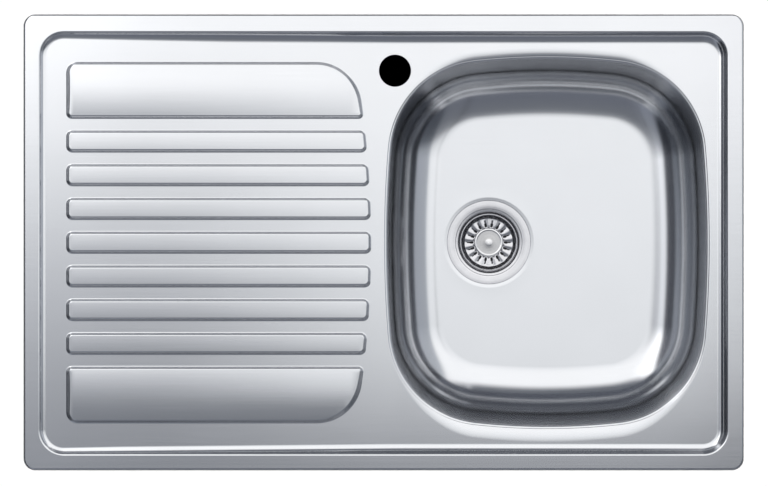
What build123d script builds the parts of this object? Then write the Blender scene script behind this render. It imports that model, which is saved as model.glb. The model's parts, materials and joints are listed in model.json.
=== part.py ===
"""Inset stainless steel kitchen sink: drainer on the left, one bowl on the right, basket strainer waste.

Millimetres. +X runs to the bowl end, +Y to the tap ledge, +Z up.
The origin is the centre of the rim's outline, on the worktop that the rim lies on.
"""
import os
from math import atan2, cos, degrees, hypot, radians, sin, sqrt, tan

from build123d import *

os.makedirs("parts", exist_ok=True)

# ---------------------------------------------------------------- rim and sheet
overall_length = 790.0
overall_width = 500.0
outer_corner_radius = 13.0
sheet = 0.8  # steel thickness
rim_height = 6.0  # rim top above the worktop
rim_band = 17.5  # flat rim, from the outer edge to the brow of the step
rim_edge_radius = 2.5
lip_gap = 0.3  # between the turned-down lip and the worktop

# ---------------------------------------------------------------- bowl
bowl_length = 350.2  # across the mouth, along X
bowl_end_land = 40.6  # from the mouth to the rim's end
bowl_side_land = 48.2  # from the mouth to the rim's side
bowl_x = overall_length / 2 - bowl_end_land - bowl_length / 2
bowl_left_x = bowl_x - bowl_length / 2
bowl_width = overall_width - 2 * bowl_side_land  # across the mouth, along Y
bowl_depth = 150.0  # below the level deck
bowl_side_draft = 3.1
bowl_end_draft = 6.1
bowl_side_bow = 1278.0  # radius of the bowed sides
bowl_end_bow = 724.0
bowl_corner_radius = 103.0
bowl_floor_corner_radius = 98.0
bowl_brow_radius = 5.0
bowl_foot_radius = 54.0
floor_dish_radius = 4500.0  # the floor falls to the waste from all sides

# ---------------------------------------------------------------- recessed deck
deck_drop_drainer = 4.5  # below the rim, at the drainer end
deck_drop_bowl = 9.0  # below the rim, round the bowl
step_angle = 55.0  # slope of the step's wall
step_corner_radius = 27.0
step_brow_radius = 3.0
step_foot_radius = 6.0
slope_end_x = bowl_left_x + 10.8  # where the drainer's slope turns level
slope_blend_radius = 1500.0

# ---------------------------------------------------------------- drainer ridges
bar_count = 7
bar_pitch = 37.0
bar_width = 23.6
bar_corner_radius = 6.5
ridge_end_land = 47.0  # from the ridges to the rim's end
ridge_side_land = 52.0  # from the outer ridges to the rim's side
ridge_bowl_gap = 18.0  # from the middle bar to the bowl's mouth
ridge_left_x = ridge_end_land - overall_length / 2
ridge_right_x = bowl_left_x - ridge_bowl_gap  # the middle bar's end
ridge_end_bow = 1140.0  # the bars end on one arc
panel_gap = 13.4  # between the last bar and the wide panel
half_bars = (bar_count - 1) / 2 * bar_pitch + bar_width / 2
panel_width = overall_width / 2 - ridge_side_land - half_bars - panel_gap
panel_outer_left_radius = 12.0
panel_inner_left_radius = 6.0
panel_inner_right_radius = 5.0
panel_end_straight = 11.8  # of a wide panel's right end, below its large corner
panel_outer_right_radius = panel_width - panel_end_straight
ridge_height = 2.8  # at the ridge's brow
ridge_crown_radius = 350.0  # the tops are slightly rounded across
ridge_wall_angle = 48.0
ridge_brow_radius = 2.0
ridge_foot_radius = 2.0

# ---------------------------------------------------------------- holes in the sheet
tap_hole_diameter = 35.0
tap_hole_x = bowl_left_x + 8.3
tap_hole_y = overall_width / 2 - 61.5
drain_x = bowl_x - 61.6
recess_diameter = 101.0
recess_depth = 3.0
recess_wall_angle = 50.0
recess_brow_radius = 2.0
recess_foot_radius = 1.0
waste_hole_diameter = 77.0
overflow_hole_count = 5
overflow_hole_diameter = 7.0
overflow_hole_pitch = 10.5
overflow_hole_drop = 38.0  # below the level deck

# ---------------------------------------------------------------- seal and sound pad
cutout_inset = 10.0  # the worktop's opening, inside the rim's outline
seal_width = 6.5
seal_inset = 2.0  # from the lip's inner face
pad_length = 110.0
pad_width = 200.0
pad_thickness = 2.5
pad_corner_radius = 12.0
pad_x = bowl_x + 51.7

# ---------------------------------------------------------------- waste
flange_diameter = 94.0
flange_sheet = 1.0
flange_edge_radius = 0.6
throat_mouth_diameter = 76.0
throat_drop = 3.5
neck_bore = 67.2
neck_depth = 16.2  # from the throat's foot to the strainer's shelf
shelf_bore = 48.0
spider_hub_diameter = 16.0
spider_arm_width = 5.0
spider_arm_count = 4
upper_gasket_thickness = 1.2
upper_gasket_width = 6.5
upper_gasket_inset = 1.0  # from the flange's edge
lower_gasket_thickness = 2.0
lower_gasket_width = 6.5
lower_gasket_inset = 2.0  # from the edge of the waste hole
body_flange_thickness = 4.5
body_flange_diameter = 99.0
body_diameter = 88.0
body_wall = 3.5
body_depth = 46.0  # from the flange's face to the outlet's shoulder
body_cone_height = 10.0
outlet_diameter = 47.8  # over the outlet's thread
outlet_bore = 39.0
outlet_length = 18.0
body_hub_diameter = 15.0
body_hub_top = 14.0  # below the shelf
body_hub_height = 12.0
body_arm_width = 4.0
screw_diameter = 6.0
screw_head_diameter = 10.0
screw_head_height = 4.5
screw_slot_width = 1.2
screw_slot_depth = 1.6
screw_end = 1.5  # past the hub
thread_clearance = 0.05  # radial, where a screw passes its thread

# ---------------------------------------------------------------- basket strainer
basket_diameter = 64.0
basket_rim_width = 1.0
basket_rim_depth = 4.5  # below the bowl's floor
basket_sheet = 0.7
basket_lip_height = 0.8
basket_wall_foot_diameter = 56.0
basket_wall_height = 6.2
basket_floor_diameter = 34.0
basket_cone_height = 2.4
slot_count = 18
slot_inner_radius = 17.3
slot_length = 6.5
slot_width = 2.2
knob_diameter = 32.4
knob_thickness = 3.2
knob_edge_radius = 1.3
knob_boss_diameter = 12.0
knob_rise = 0.8  # over the basket's rim
knob_pip_diameter = 10.0
knob_pip_height = 1.2
stem_diameter = 8.0
stem_clearance = 0.1  # radial, in the basket and the knob
stem_grip = 5.0  # into the knob
stem_collar_diameter = 20.0
seal_disc_diameter = 53.0
seal_disc_thickness = 3.0
seal_rest_gap = 0.3  # between the rubber disc and its shelf
sleeve_diameter = 14.0
sleeve_clearance = 0.3  # radial, over the screw's head

# ---------------------------------------------------------------- overflow
overflow_gasket_thickness = 2.0
overflow_gasket_gap = 0.2
overflow_window_length = 56.0
overflow_window_height = 14.0
overflow_gasket_length = 66.0
overflow_gasket_height = 24.0
overflow_flange_length = 92.0
overflow_flange_thickness = 3.0
overflow_box_depth = 27.5
overflow_box_wall = 2.0
overflow_stud_spacing = 76.0
stud_diameter = 4.0
stud_length = 12.0
stud_seat_gap = 0.02  # between a stud's end and the bowed wall
nut_across_flats = 7.0
nut_height = 3.2
pipe_diameter = 22.0
pipe_wall = 1.8
pipe_clearance = 0.2  # radial, in its sockets
pipe_bend_radius = 30.0
socket_wall = 2.3
socket_depth = 14.0
socket_reach = 18.0  # the upper socket's length, past the box
inlet_drop = 23.0  # the side inlet's axis, below the body's upper face
inlet_length = 20.0
inlet_seal_length = 4.0
cap_nut_length = 13.0
cap_nut_wall = 3.0
cap_nut_lip = 2.5
cap_nut_ribs = 12

# ---------------------------------------------------------------- clamps
clamp_end_land = 115.0  # from the outer clamps to the rim's end
clamp_spread_x = overall_length / 2 - clamp_end_land
clamp_middle_x = bowl_left_x - 49.2  # clear of the tap's own nut
bracket_gap = 1.0  # inside the worktop's opening
bracket_width = 26.0
bracket_thickness = 1.5
bracket_tab = 4.6
bracket_foot_reach = 24.0
bracket_foot_thickness = 2.0
bracket_foot_drop = 24.0  # the foot's underside, below the worktop's top
stud_inset = 13.0  # the clamp's stud, inside the worktop's opening
clamp_stud_diameter = 6.0
clamp_stud_spare = 2.7  # past the nut at rest
clamp_stud_chamfer = 0.75
clamp_travel = 33.0
clamp_top_gap = 0.5  # under the foot, with the clamp fully raised
arm_width = 18.0
arm_thickness = 2.5
arm_reach = 33.0
arm_tooth = 4.0
washer_diameter = 16.0
washer_thickness = 1.2
stack_gap = 0.05
loose_clearance = 0.3  # radial, washer and arm on the stud
nut_clearance = 0.08  # radial, nut on the stud
wing_nut_diameter = 13.0
wing_nut_height = 8.0
wing_span = 30.0
wing_thickness = 2.4
wing_start = 3.5  # below the nut's upper face
wing_height = 10.0
wing_root_height = 7.0  # where a wing leaves the nut
wing_fall = 1.5  # of the wing's upper edge, to its shoulder
wing_shoulder = (3.0, 3.5)  # in from the tip, and below the upper edge's end
wing_tip_inset = 2.0

# ---------------------------------------------------------------- modelling allowances
margin = 5.0  # past the edges of a region, or past a face that is cut through
hair = 0.02  # within which two heights are the same

# ---------------------------------------------------------------- worked out
deck_level = rim_height - deck_drop_bowl
floor_level = deck_level - bowl_depth
recess_level = floor_level - recess_depth
underside_level = recess_level - sheet
step_left_x = -overall_length / 2 + rim_band
drainer_level = rim_height - deck_drop_drainer
slope_angle = degrees(atan2(drainer_level - deck_level, slope_end_x - step_left_x))
ridges_half_width = half_bars + panel_gap + panel_width
seal_outer_inset = sheet + seal_inset
rim_underside = rim_height - sheet


def finish(piece, name):
    """Label a finished piece and write it as its own file."""
    piece.part.label = name
    export_step(piece.part, f"parts/{name}.step")


def shift_for(wall_angle, drop):
    """Sideways shift of a sloping wall whose surface is offset by drop."""
    return drop * tan(radians(wall_angle) / 2)


def under_corner(point, angle_in, angle_out, thickness):
    """The corner under a turned sheet's upper corner, where its slope changes between two angles."""
    first, second = radians(angle_in), radians(angle_out)
    share = thickness / (1 + cos(first - second))
    across = share * (sin(first) + sin(second))
    down = share * (cos(first) + cos(second))
    return point[0] + across, point[1] - down


# ================================================================ the pressed sheet
def ridge_end(y, inset):
    """The X at which the ridges end, at a distance y from the drainer's centre line."""
    bow = ridge_end_bow - inset
    return ridge_right_x - ridge_end_bow + sqrt(bow**2 - y**2)


def ridge_outline(low, high, radii, inset):
    """One ridge between two Y values, shrunk by inset.

    The radii run left low, right low, right high, left high.
    """
    left = ridge_left_x + inset
    low, high = low + inset, high - inset
    middle = (low + high) / 2
    right_low = (ridge_end(low, inset), low)
    right_high = (ridge_end(high, inset), high)
    with BuildSketch() as outline:
        with BuildLine():
            Polyline(right_high, (left, high), (left, low), right_low)
            ThreePointArc(right_low, (ridge_end(middle, inset), middle), right_high)
        make_face()
        corners = ((left, low), right_low, right_high, (left, high))
        for (x, y), radius in zip(corners, radii):
            nearest = outline.vertices().sort_by(lambda v: hypot(v.X - x, v.Y - y))[0]
            fillet(nearest, radius - inset)
    return outline.sketch


def ridge_list():
    """Each ridge as its two Y values and its four corner radii: the bars, then the two wide panels."""
    ridges = []
    for bar in range(bar_count):
        middle = (bar - (bar_count - 1) / 2) * bar_pitch
        radii = [bar_corner_radius] * 4
        ridges.append((middle - bar_width / 2, middle + bar_width / 2, radii))
    inner = (panel_inner_left_radius, panel_inner_right_radius)
    outer = (panel_outer_right_radius, panel_outer_left_radius)
    near = half_bars + panel_gap
    far = near + panel_width
    ridges.append((near, far, inner + outer))
    ridges.append((-far, -near, outer[::-1] + inner[::-1]))
    return ridges


def slope_plane(drop):
    """The drainer's sloping surface: +X down the slope, origin over the frame's X = 0."""
    slope = radians(slope_angle)
    height = deck_level + slope_end_x * tan(slope) - drop
    return Plane((0, 0, height), x_dir=(cos(slope), 0, -sin(slope)), z_dir=(sin(slope), 0, cos(slope)))


def crown_rise(low, high):
    """How far a ridge's crowned top rises over its brow."""
    return ridge_crown_radius - sqrt(ridge_crown_radius**2 - ((high - low) / 2) ** 2)


def ridge_body(low, high, radii, drop):
    """One crowned ridge with sloping walls, reaching a little way into the deck."""
    plane = slope_plane(drop)
    root = ridge_height / 2
    spread = root / tan(radians(ridge_wall_angle))
    inset = shift_for(ridge_wall_angle, drop) - spread
    rise = crown_rise(low, high)
    crown = ridge_crown_radius - drop
    crown_centre = ridge_height + rise - crown
    with BuildPart() as ridge:
        with BuildSketch(plane.offset(-root)):
            add(ridge_outline(low, high, radii, inset))
        extrude(amount=root + ridge_height + rise, taper=90 - ridge_wall_angle)
        crown_plane = Plane(plane.from_local_coords((0, 0, 0)), x_dir=(0, 1, 0), z_dir=plane.x_dir)
        with BuildSketch(crown_plane):
            with Locations(((low + high) / 2, crown_centre)):
                Circle(crown)
        extrude(amount=overall_length, both=True, mode=Mode.INTERSECT)
    return ridge.part


def bowl_outline(half_length, half_width, corner_radius, grow):
    """Four bowed sides with rounded corners, grown outwards by grow."""
    half_length, half_width = half_length + grow, half_width + grow
    side, end = bowl_side_bow + grow, bowl_end_bow + grow
    side_centre, end_centre = half_length - side, half_width - end
    apart = hypot(side_centre, end_centre)
    along = (side**2 - end**2 + apart**2) / (2 * apart)
    across = sqrt(side**2 - along**2)
    corner_x = side_centre - (along * side_centre + across * end_centre) / apart
    corner_y = (along * end_centre - across * side_centre) / apart
    with BuildSketch() as outline:
        with BuildLine():
            ThreePointArc((corner_x, -corner_y), (half_length, 0), (corner_x, corner_y))
            ThreePointArc((corner_x, corner_y), (0, half_width), (-corner_x, corner_y))
            ThreePointArc((-corner_x, corner_y), (-half_length, 0), (-corner_x, -corner_y))
            ThreePointArc((-corner_x, -corner_y), (0, -half_width), (corner_x, -corner_y))
        make_face()
        fillet(outline.vertices(), corner_radius + grow)
    return outline.sketch


def bowl_sizes(level):
    """Half length, half width and corner radius of the undressed bowl at a height."""
    below = deck_level - level
    half_length = bowl_length / 2 - below * tan(radians(bowl_side_draft))
    half_width = bowl_width / 2 - below * tan(radians(bowl_end_draft))
    tightening = (bowl_corner_radius - bowl_floor_corner_radius) / bowl_depth
    return half_length, half_width, bowl_corner_radius - below * tightening


def dish_ball(drop):
    """The ball whose lowest part is the bowl's dished floor, offset outwards by drop."""
    with BuildPart() as ball:
        with Locations((drain_x, 0, floor_level + floor_dish_radius)):
            Sphere(floor_dish_radius + drop)
    return ball.part


def dish_rise(reach):
    """How far the dished floor has risen at a distance from the waste's axis."""
    return floor_dish_radius - sqrt(floor_dish_radius**2 - reach**2)


def bowl_cavity(drop):
    """The hollow of the bowl, from above the deck to the floor, offset outwards by drop."""
    grow = shift_for(90 - (bowl_side_draft + bowl_end_draft) / 2, drop)
    with BuildPart() as cavity:
        for level in (rim_height, floor_level - margin):
            with BuildSketch(Plane((bowl_x, 0, level - drop))):
                add(bowl_outline(*bowl_sizes(level), grow))
        loft(ruled=True)
        add(dish_ball(drop), mode=Mode.INTERSECT)
    return cavity.part


def deck_space(drop):
    """The room above the deck: tapered down from the rim, with the drainer's sloping floor."""
    grow = shift_for(step_angle, drop)
    slope = radians(slope_angle)
    half_bend = slope_blend_radius * tan(slope / 2)
    level = deck_level - drop
    far = overall_length
    start = (slope_end_x - half_bend * cos(slope), level + half_bend * sin(slope))
    bend_end = (slope_end_x + half_bend, level)
    left = (-far, level + (far + slope_end_x) * tan(slope))
    with BuildPart() as space:
        with BuildSketch(Plane.XY.offset(rim_height - drop)):
            length = overall_length - 2 * rim_band + 2 * grow
            width = overall_width - 2 * rim_band + 2 * grow
            RectangleRounded(length, width, step_corner_radius + grow)
        extrude(amount=-2 * deck_drop_bowl, taper=90 - step_angle)
        with BuildSketch(Plane.XZ):
            with BuildLine():
                Line(left, start)
                TangentArc(start, bend_end, tangent=(cos(slope), -sin(slope)))
                Polyline(bend_end, (far, level), (far, 2 * rim_height), (-far, 2 * rim_height), left)
            make_face()
        extrude(amount=overall_width, both=True, mode=Mode.INTERSECT)
    return space.part


def edges_in_plan(part, x_low, x_high, half_y):
    """The edges that lie wholly inside a rectangle of the plan."""
    chosen = ShapeList()
    for edge in part.edges():
        box = edge.bounding_box()
        if x_low < box.min.X and box.max.X < x_high and -half_y < box.min.Y and box.max.Y < half_y:
            chosen.append(edge)
    return chosen


def pressed_block(drop):
    """All the room under the sink's upper surface, with that surface offset down by drop."""
    top = rim_height - drop
    floor = floor_level - drop
    step_half_x = overall_length / 2 - rim_band + sheet
    step_half_y = overall_width / 2 - rim_band + sheet
    with BuildPart() as block:
        with BuildSketch(Plane.XY.offset(top)):
            length, width = overall_length - 2 * drop, overall_width - 2 * drop
            RectangleRounded(length, width, outer_corner_radius - drop)
        # the deeper of the two blocks leaves no slab under the bowl
        extrude(amount=floor_level - recess_depth - margin - top - 2 * drop)
        fillet(block.faces().sort_by(Axis.Z)[-1].edges(), rim_edge_radius - drop)

        add(deck_space(drop), mode=Mode.SUBTRACT)
        in_step = edges_in_plan(block, -step_half_x, step_half_x, step_half_y)
        fillet(in_step.filter_by_position(Axis.Z, top - hair, top + hair), step_brow_radius - drop)
        deck_faces = block.faces().filter_by(lambda f: f.normal_at().Z > 0.99 and f.center().Z < top - 1)
        across = deck_faces.edges().filter_by(
            lambda e: abs(e.center().Y) < 1 and abs(e.center().X - slope_end_x) < ridges_half_width
        )
        fillet(deck_faces.edges() - across, step_foot_radius + drop)

        up = Axis(slope_plane(drop).origin, slope_plane(drop).z_dir)
        for low, high, radii in ridge_list():
            add(ridge_body(low, high, radii, drop))
            left, right = ridge_left_x - margin, ridge_right_x + margin
            near = edges_in_plan(block, left, right, ridges_half_width + margin)
            own = near.filter_by(lambda e: low - margin < e.center().Y < high + margin)
            fillet(own.filter_by_position(up, -hair, hair), ridge_foot_radius + drop)
            near = edges_in_plan(block, ridge_left_x, ridge_right_x, ridges_half_width)
            own = near.filter_by(lambda e: low < e.center().Y < high)
            highest = ridge_height + crown_rise(low, high)
            brow = own.filter_by_position(up, ridge_height - margin * hair, highest + margin * hair)
            fillet(brow, ridge_brow_radius - drop)

        add(bowl_cavity(drop), mode=Mode.SUBTRACT)
        left, right = bowl_x - bowl_length / 2 - margin, bowl_x + bowl_length / 2 + margin
        in_bowl = edges_in_plan(block, left, right, bowl_width / 2 + margin)
        dish = block.faces().filter_by(GeomType.SPHERE)
        fillet(in_bowl.filter_by(lambda e: e in dish.edges()), bowl_foot_radius + drop)
        in_bowl = edges_in_plan(block, left, right, bowl_width / 2 + margin)
        mouth = in_bowl.filter_by(
            lambda e: e.bounding_box().size.Z < 1 and e.center().Z > deck_level - drop - 1
        )
        fillet(mouth, bowl_brow_radius - drop)

        # cut from just above the dished floor, so that the brow is one whole circle
        start = recess_depth / 2
        lean = tan(radians(recess_wall_angle))
        reach = recess_diameter / 2 + shift_for(recess_wall_angle, drop) + start / lean
        with BuildSketch(Plane((drain_x, 0, floor + start))):
            Circle(reach)
        extrude(amount=-recess_depth - start, taper=90 - recess_wall_angle, mode=Mode.SUBTRACT)
        brow_level = floor + dish_rise(recess_diameter / 2)
        bends = ((floor - recess_depth, recess_foot_radius + drop), (brow_level, recess_brow_radius - drop))
        for level, radius in bends:
            rings = block.edges().filter_by(GeomType.CIRCLE)
            about_drain = rings.filter_by(lambda e: hypot(e.arc_center.X - drain_x, e.arc_center.Y) < hair)
            ring = about_drain.filter_by_position(Axis.Z, level - recess_depth / 4, level + recess_depth / 4)
            fillet(ring, radius)
    return block.part


def overflow_point():
    """The middle of the row of overflow holes, on the bowl wall's inner face."""
    level = deck_level - overflow_hole_drop
    return bowl_x - bowl_sizes(level)[0], level


with BuildPart() as sink_pressing:
    add(pressed_block(0))
    add(pressed_block(sheet), mode=Mode.SUBTRACT)
    # the lip stops just above the worktop
    with BuildSketch(Plane.XY.offset(lip_gap)):
        Rectangle(overall_length + rim_band, overall_width + rim_band)
        Rectangle(overall_length - rim_band, overall_width - rim_band, mode=Mode.SUBTRACT)
    extrude(amount=-2 * bowl_depth, mode=Mode.SUBTRACT)
    with BuildSketch(Plane.XY.offset(rim_height)):
        with Locations((tap_hole_x, tap_hole_y)):
            Circle(tap_hole_diameter / 2)
    extrude(amount=-2 * deck_drop_bowl, mode=Mode.SUBTRACT)
    with BuildSketch(Plane((drain_x, 0, floor_level))):
        Circle(waste_hole_diameter / 2)
    extrude(amount=-recess_depth - margin, mode=Mode.SUBTRACT)
    wall_x, wall_level = overflow_point()
    with BuildSketch(Plane((wall_x, 0, wall_level), x_dir=(0, 1, 0), z_dir=(1, 0, 0))):
        with GridLocations(overflow_hole_pitch, 1, overflow_hole_count, 1):
            Circle(overflow_hole_diameter / 2)
    extrude(amount=margin, both=True, mode=Mode.SUBTRACT)
finish(sink_pressing, "sink_pressing")

# ================================================================ rim seal and sound pad
with BuildPart() as rim_seal:
    with BuildSketch():
        length, width = overall_length - 2 * seal_outer_inset, overall_width - 2 * seal_outer_inset
        radius = outer_corner_radius - seal_outer_inset
        RectangleRounded(length, width, radius)
        RectangleRounded(
            length - 2 * seal_width, width - 2 * seal_width, radius - seal_width, mode=Mode.SUBTRACT
        )
    extrude(amount=rim_underside)
finish(rim_seal, "rim_seal")

with BuildPart() as sound_pad:
    with BuildSketch(Plane((pad_x, 0, underside_level - pad_thickness))):
        RectangleRounded(pad_length, pad_width, pad_corner_radius)
    extrude(amount=bowl_foot_radius)
    add(dish_ball(sheet + pad_thickness), mode=Mode.INTERSECT)
    add(dish_ball(sheet), mode=Mode.SUBTRACT)
finish(sound_pad, "sound_pad")

# ================================================================ waste
drain_axis = Axis((drain_x, 0, 0), (0, 0, 1))
drain_section = Plane((drain_x, 0, 0), x_dir=(1, 0, 0), z_dir=(0, -1, 0))
flange_underside = recess_level + upper_gasket_thickness
flange_top = flange_underside + flange_sheet
throat_foot = flange_top - throat_drop
shelf_top = throat_foot - neck_depth
neck_radius = neck_bore / 2


def ring(inner, outer, bottom, height):
    """A flat ring about the drain's axis."""
    with BuildPart() as shape:
        with BuildSketch(Plane((drain_x, 0, bottom))):
            Circle(outer)
            Circle(inner, mode=Mode.SUBTRACT)
        extrude(amount=height)
    return shape


throat_angle = degrees(atan2(throat_drop, throat_mouth_diameter / 2 - neck_radius))
with BuildPart() as waste_flange:
    with BuildSketch(drain_section):
        with BuildLine():
            Polyline(
                (flange_diameter / 2, flange_underside),
                (flange_diameter / 2, flange_top),
                (throat_mouth_diameter / 2, flange_top),
                (neck_radius, throat_foot),
                (neck_radius, shelf_top),
                (shelf_bore / 2, shelf_top),
                (shelf_bore / 2, shelf_top - flange_sheet),
                (neck_radius + flange_sheet, shelf_top - flange_sheet),
                under_corner((neck_radius, throat_foot), 90, throat_angle, flange_sheet),
                under_corner((throat_mouth_diameter / 2, flange_top), throat_angle, 0, flange_sheet),
                close=True,
            )
        make_face()
    revolve(axis=drain_axis)
    outer_brow = waste_flange.edges().filter_by(GeomType.CIRCLE).filter_by(
        lambda e: abs(e.radius - flange_diameter / 2) < hair and e.center().Z > flange_underside + hair
    )
    fillet(outer_brow, flange_edge_radius)
    with BuildSketch(Plane((drain_x, 0, shelf_top))):
        with PolarLocations(0, spider_arm_count // 2, angular_range=180):
            Rectangle(shelf_bore + flange_sheet, spider_arm_width)
        Circle(spider_hub_diameter / 2)
    extrude(amount=-flange_sheet)
    with BuildSketch(Plane((drain_x, 0, shelf_top))):
        Circle(screw_diameter / 2 + thread_clearance)
    extrude(amount=-2 * flange_sheet, mode=Mode.SUBTRACT)
finish(waste_flange, "waste_flange")

gasket_outer = flange_diameter / 2 - upper_gasket_inset
waste_gasket_upper = ring(
    gasket_outer - upper_gasket_width, gasket_outer, recess_level, upper_gasket_thickness
)
finish(waste_gasket_upper, "waste_gasket_upper")
gasket_inner = waste_hole_diameter / 2 + lower_gasket_inset
waste_gasket_lower = ring(
    gasket_inner, gasket_inner + lower_gasket_width, underside_level, -lower_gasket_thickness
)
finish(waste_gasket_lower, "waste_gasket_lower")

body_top = underside_level - lower_gasket_thickness
body_shoulder = body_top - body_depth
body_bore = body_diameter / 2 - body_wall
hub_top = shelf_top - body_hub_top
inlet_level = body_top - inlet_drop
pipe_radius = pipe_diameter / 2
pipe_bore = pipe_radius - pipe_wall
socket_bore = pipe_radius + pipe_clearance
socket_radius = socket_bore + socket_wall
inlet_end_x = drain_x - body_diameter / 2 - inlet_length

with BuildPart() as waste_body:
    inlet_plane = Plane((inlet_end_x, 0, inlet_level), x_dir=(0, 1, 0), z_dir=(1, 0, 0))
    with BuildSketch(drain_section):
        with BuildLine():
            Polyline(
                (0, body_top),
                (body_flange_diameter / 2, body_top),
                (body_flange_diameter / 2, body_top - body_flange_thickness),
                (body_diameter / 2, body_top - body_flange_thickness),
                (body_diameter / 2, body_shoulder + body_cone_height),
                (outlet_diameter / 2, body_shoulder),
                (outlet_diameter / 2, body_shoulder - outlet_length),
                (0, body_shoulder - outlet_length),
                close=True,
            )
        make_face()
    revolve(axis=drain_axis)
    with BuildSketch(inlet_plane):
        Circle(socket_radius)
    extrude(amount=drain_x - inlet_end_x)
    with BuildSketch(drain_section):
        with BuildLine():
            Polyline(
                (0, body_top),
                (body_bore, body_top),
                (body_bore, body_shoulder + body_cone_height + body_wall),
                (outlet_bore / 2, body_shoulder + body_wall),
                (outlet_bore / 2, body_shoulder - outlet_length),
                (0, body_shoulder - outlet_length),
                close=True,
            )
        make_face()
    revolve(axis=drain_axis, mode=Mode.SUBTRACT)
    with BuildSketch(Plane((drain_x, 0, hub_top))):
        with PolarLocations(0, 2, start_angle=45, angular_range=180):
            Rectangle(2 * body_bore + body_wall, body_arm_width)
        Circle(body_hub_diameter / 2)
    extrude(amount=-body_hub_height)
    with BuildSketch(Plane((drain_x, 0, hub_top))):
        Circle(screw_diameter / 2 + thread_clearance)
    extrude(amount=-body_hub_height, mode=Mode.SUBTRACT)
    with BuildSketch(inlet_plane):
        Circle(socket_bore)
    extrude(amount=socket_depth, mode=Mode.SUBTRACT)
    with BuildSketch(inlet_plane):
        Circle(pipe_bore)
    extrude(amount=inlet_length + 2 * body_wall, mode=Mode.SUBTRACT)
finish(waste_body, "waste_body")

with BuildPart() as waste_screw:
    with BuildSketch(Plane((drain_x, 0, shelf_top))):
        Circle(screw_head_diameter / 2)
    extrude(amount=screw_head_height)
    with BuildSketch(Plane((drain_x, 0, shelf_top + screw_head_height))):
        Rectangle(screw_head_diameter, screw_slot_width)
    extrude(amount=-screw_slot_depth, mode=Mode.SUBTRACT)
    with BuildSketch(Plane((drain_x, 0, shelf_top))):
        Circle(screw_diameter / 2)
    extrude(amount=-(body_hub_top + body_hub_height + screw_end))
finish(waste_screw, "waste_screw")

# ================================================================ basket strainer
basket_top = floor_level - basket_rim_depth
wall_foot = basket_top - basket_wall_height
basket_floor = wall_foot - basket_cone_height
basket_underside = basket_floor - basket_sheet
knob_top = basket_top + knob_rise
disc_bottom = shelf_top + seal_rest_gap
disc_top = disc_bottom + seal_disc_thickness
stem_radius = stem_diameter / 2
sleeve_bore = screw_head_diameter / 2 + sleeve_clearance

with BuildPart() as strainer_basket:
    foot_corner = (basket_wall_foot_diameter / 2, wall_foot)
    floor_corner = (basket_floor_diameter / 2, basket_floor)
    wall_reach = basket_diameter / 2 - basket_rim_width - foot_corner[0]
    wall_angle = degrees(atan2(basket_wall_height, wall_reach))
    cone_angle = degrees(atan2(basket_cone_height, foot_corner[0] - floor_corner[0]))
    with BuildSketch(drain_section):
        with BuildLine():
            Polyline(
                (basket_diameter / 2, basket_top),
                (basket_diameter / 2 - basket_rim_width, basket_top),
                foot_corner,
                floor_corner,
                (stem_radius + stem_clearance, basket_floor),
                (stem_radius + stem_clearance, basket_underside),
                under_corner(floor_corner, 0, cone_angle, basket_sheet),
                under_corner(foot_corner, cone_angle, wall_angle, basket_sheet),
                (basket_diameter / 2 - basket_rim_width + basket_sheet, basket_top - basket_lip_height),
                (basket_diameter / 2, basket_top - basket_lip_height),
                close=True,
            )
        make_face()
    revolve(axis=drain_axis)
    with BuildSketch(Plane((drain_x, 0, basket_top))):
        with PolarLocations(slot_inner_radius + slot_length / 2, slot_count):
            Rectangle(slot_length, slot_width)
    extrude(amount=2 * (basket_underside - basket_top), mode=Mode.SUBTRACT)
finish(strainer_basket, "strainer_basket")

with BuildPart() as strainer_knob:
    with BuildSketch(Plane((drain_x, 0, knob_top))):
        Circle(knob_diameter / 2)
    extrude(amount=-knob_thickness)
    fillet(strainer_knob.edges().filter_by(GeomType.CIRCLE), knob_edge_radius)
    with BuildSketch(Plane((drain_x, 0, basket_floor))):
        Circle(knob_boss_diameter / 2)
    extrude(amount=knob_top - knob_thickness - basket_floor)
    with BuildSketch(drain_section):
        pip_radius = knob_pip_diameter / 2
        pip_crown = (pip_radius**2 + knob_pip_height**2) / (2 * knob_pip_height)
        with BuildLine():
            Line((0, knob_top), (0, knob_top + knob_pip_height))
            RadiusArc((0, knob_top + knob_pip_height), (pip_radius, knob_top), pip_crown)
            Line((pip_radius, knob_top), (0, knob_top))
        make_face()
    revolve(axis=drain_axis)
    with BuildSketch(Plane((drain_x, 0, basket_floor))):
        Circle(stem_radius + stem_clearance)
    extrude(amount=stem_grip, mode=Mode.SUBTRACT)
finish(strainer_knob, "strainer_knob")

with BuildPart() as strainer_stem:
    with BuildSketch(Plane((drain_x, 0, basket_underside))):
        Circle(stem_radius)
    extrude(amount=basket_sheet + stem_grip - stem_clearance)
    with BuildSketch(Plane((drain_x, 0, disc_top))):
        Circle(stem_collar_diameter / 2)
    extrude(amount=basket_underside - disc_top)
    with BuildSketch(Plane((drain_x, 0, disc_bottom))):
        Circle(sleeve_diameter / 2)
    extrude(amount=seal_disc_thickness)
    with BuildSketch(Plane((drain_x, 0, disc_bottom))):
        Circle(sleeve_bore)
    extrude(amount=screw_head_height, mode=Mode.SUBTRACT)
finish(strainer_stem, "strainer_stem")

strainer_seal = ring(
    sleeve_diameter / 2 + stem_clearance, seal_disc_diameter / 2, disc_bottom, seal_disc_thickness
)
finish(strainer_seal, "strainer_seal")

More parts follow.
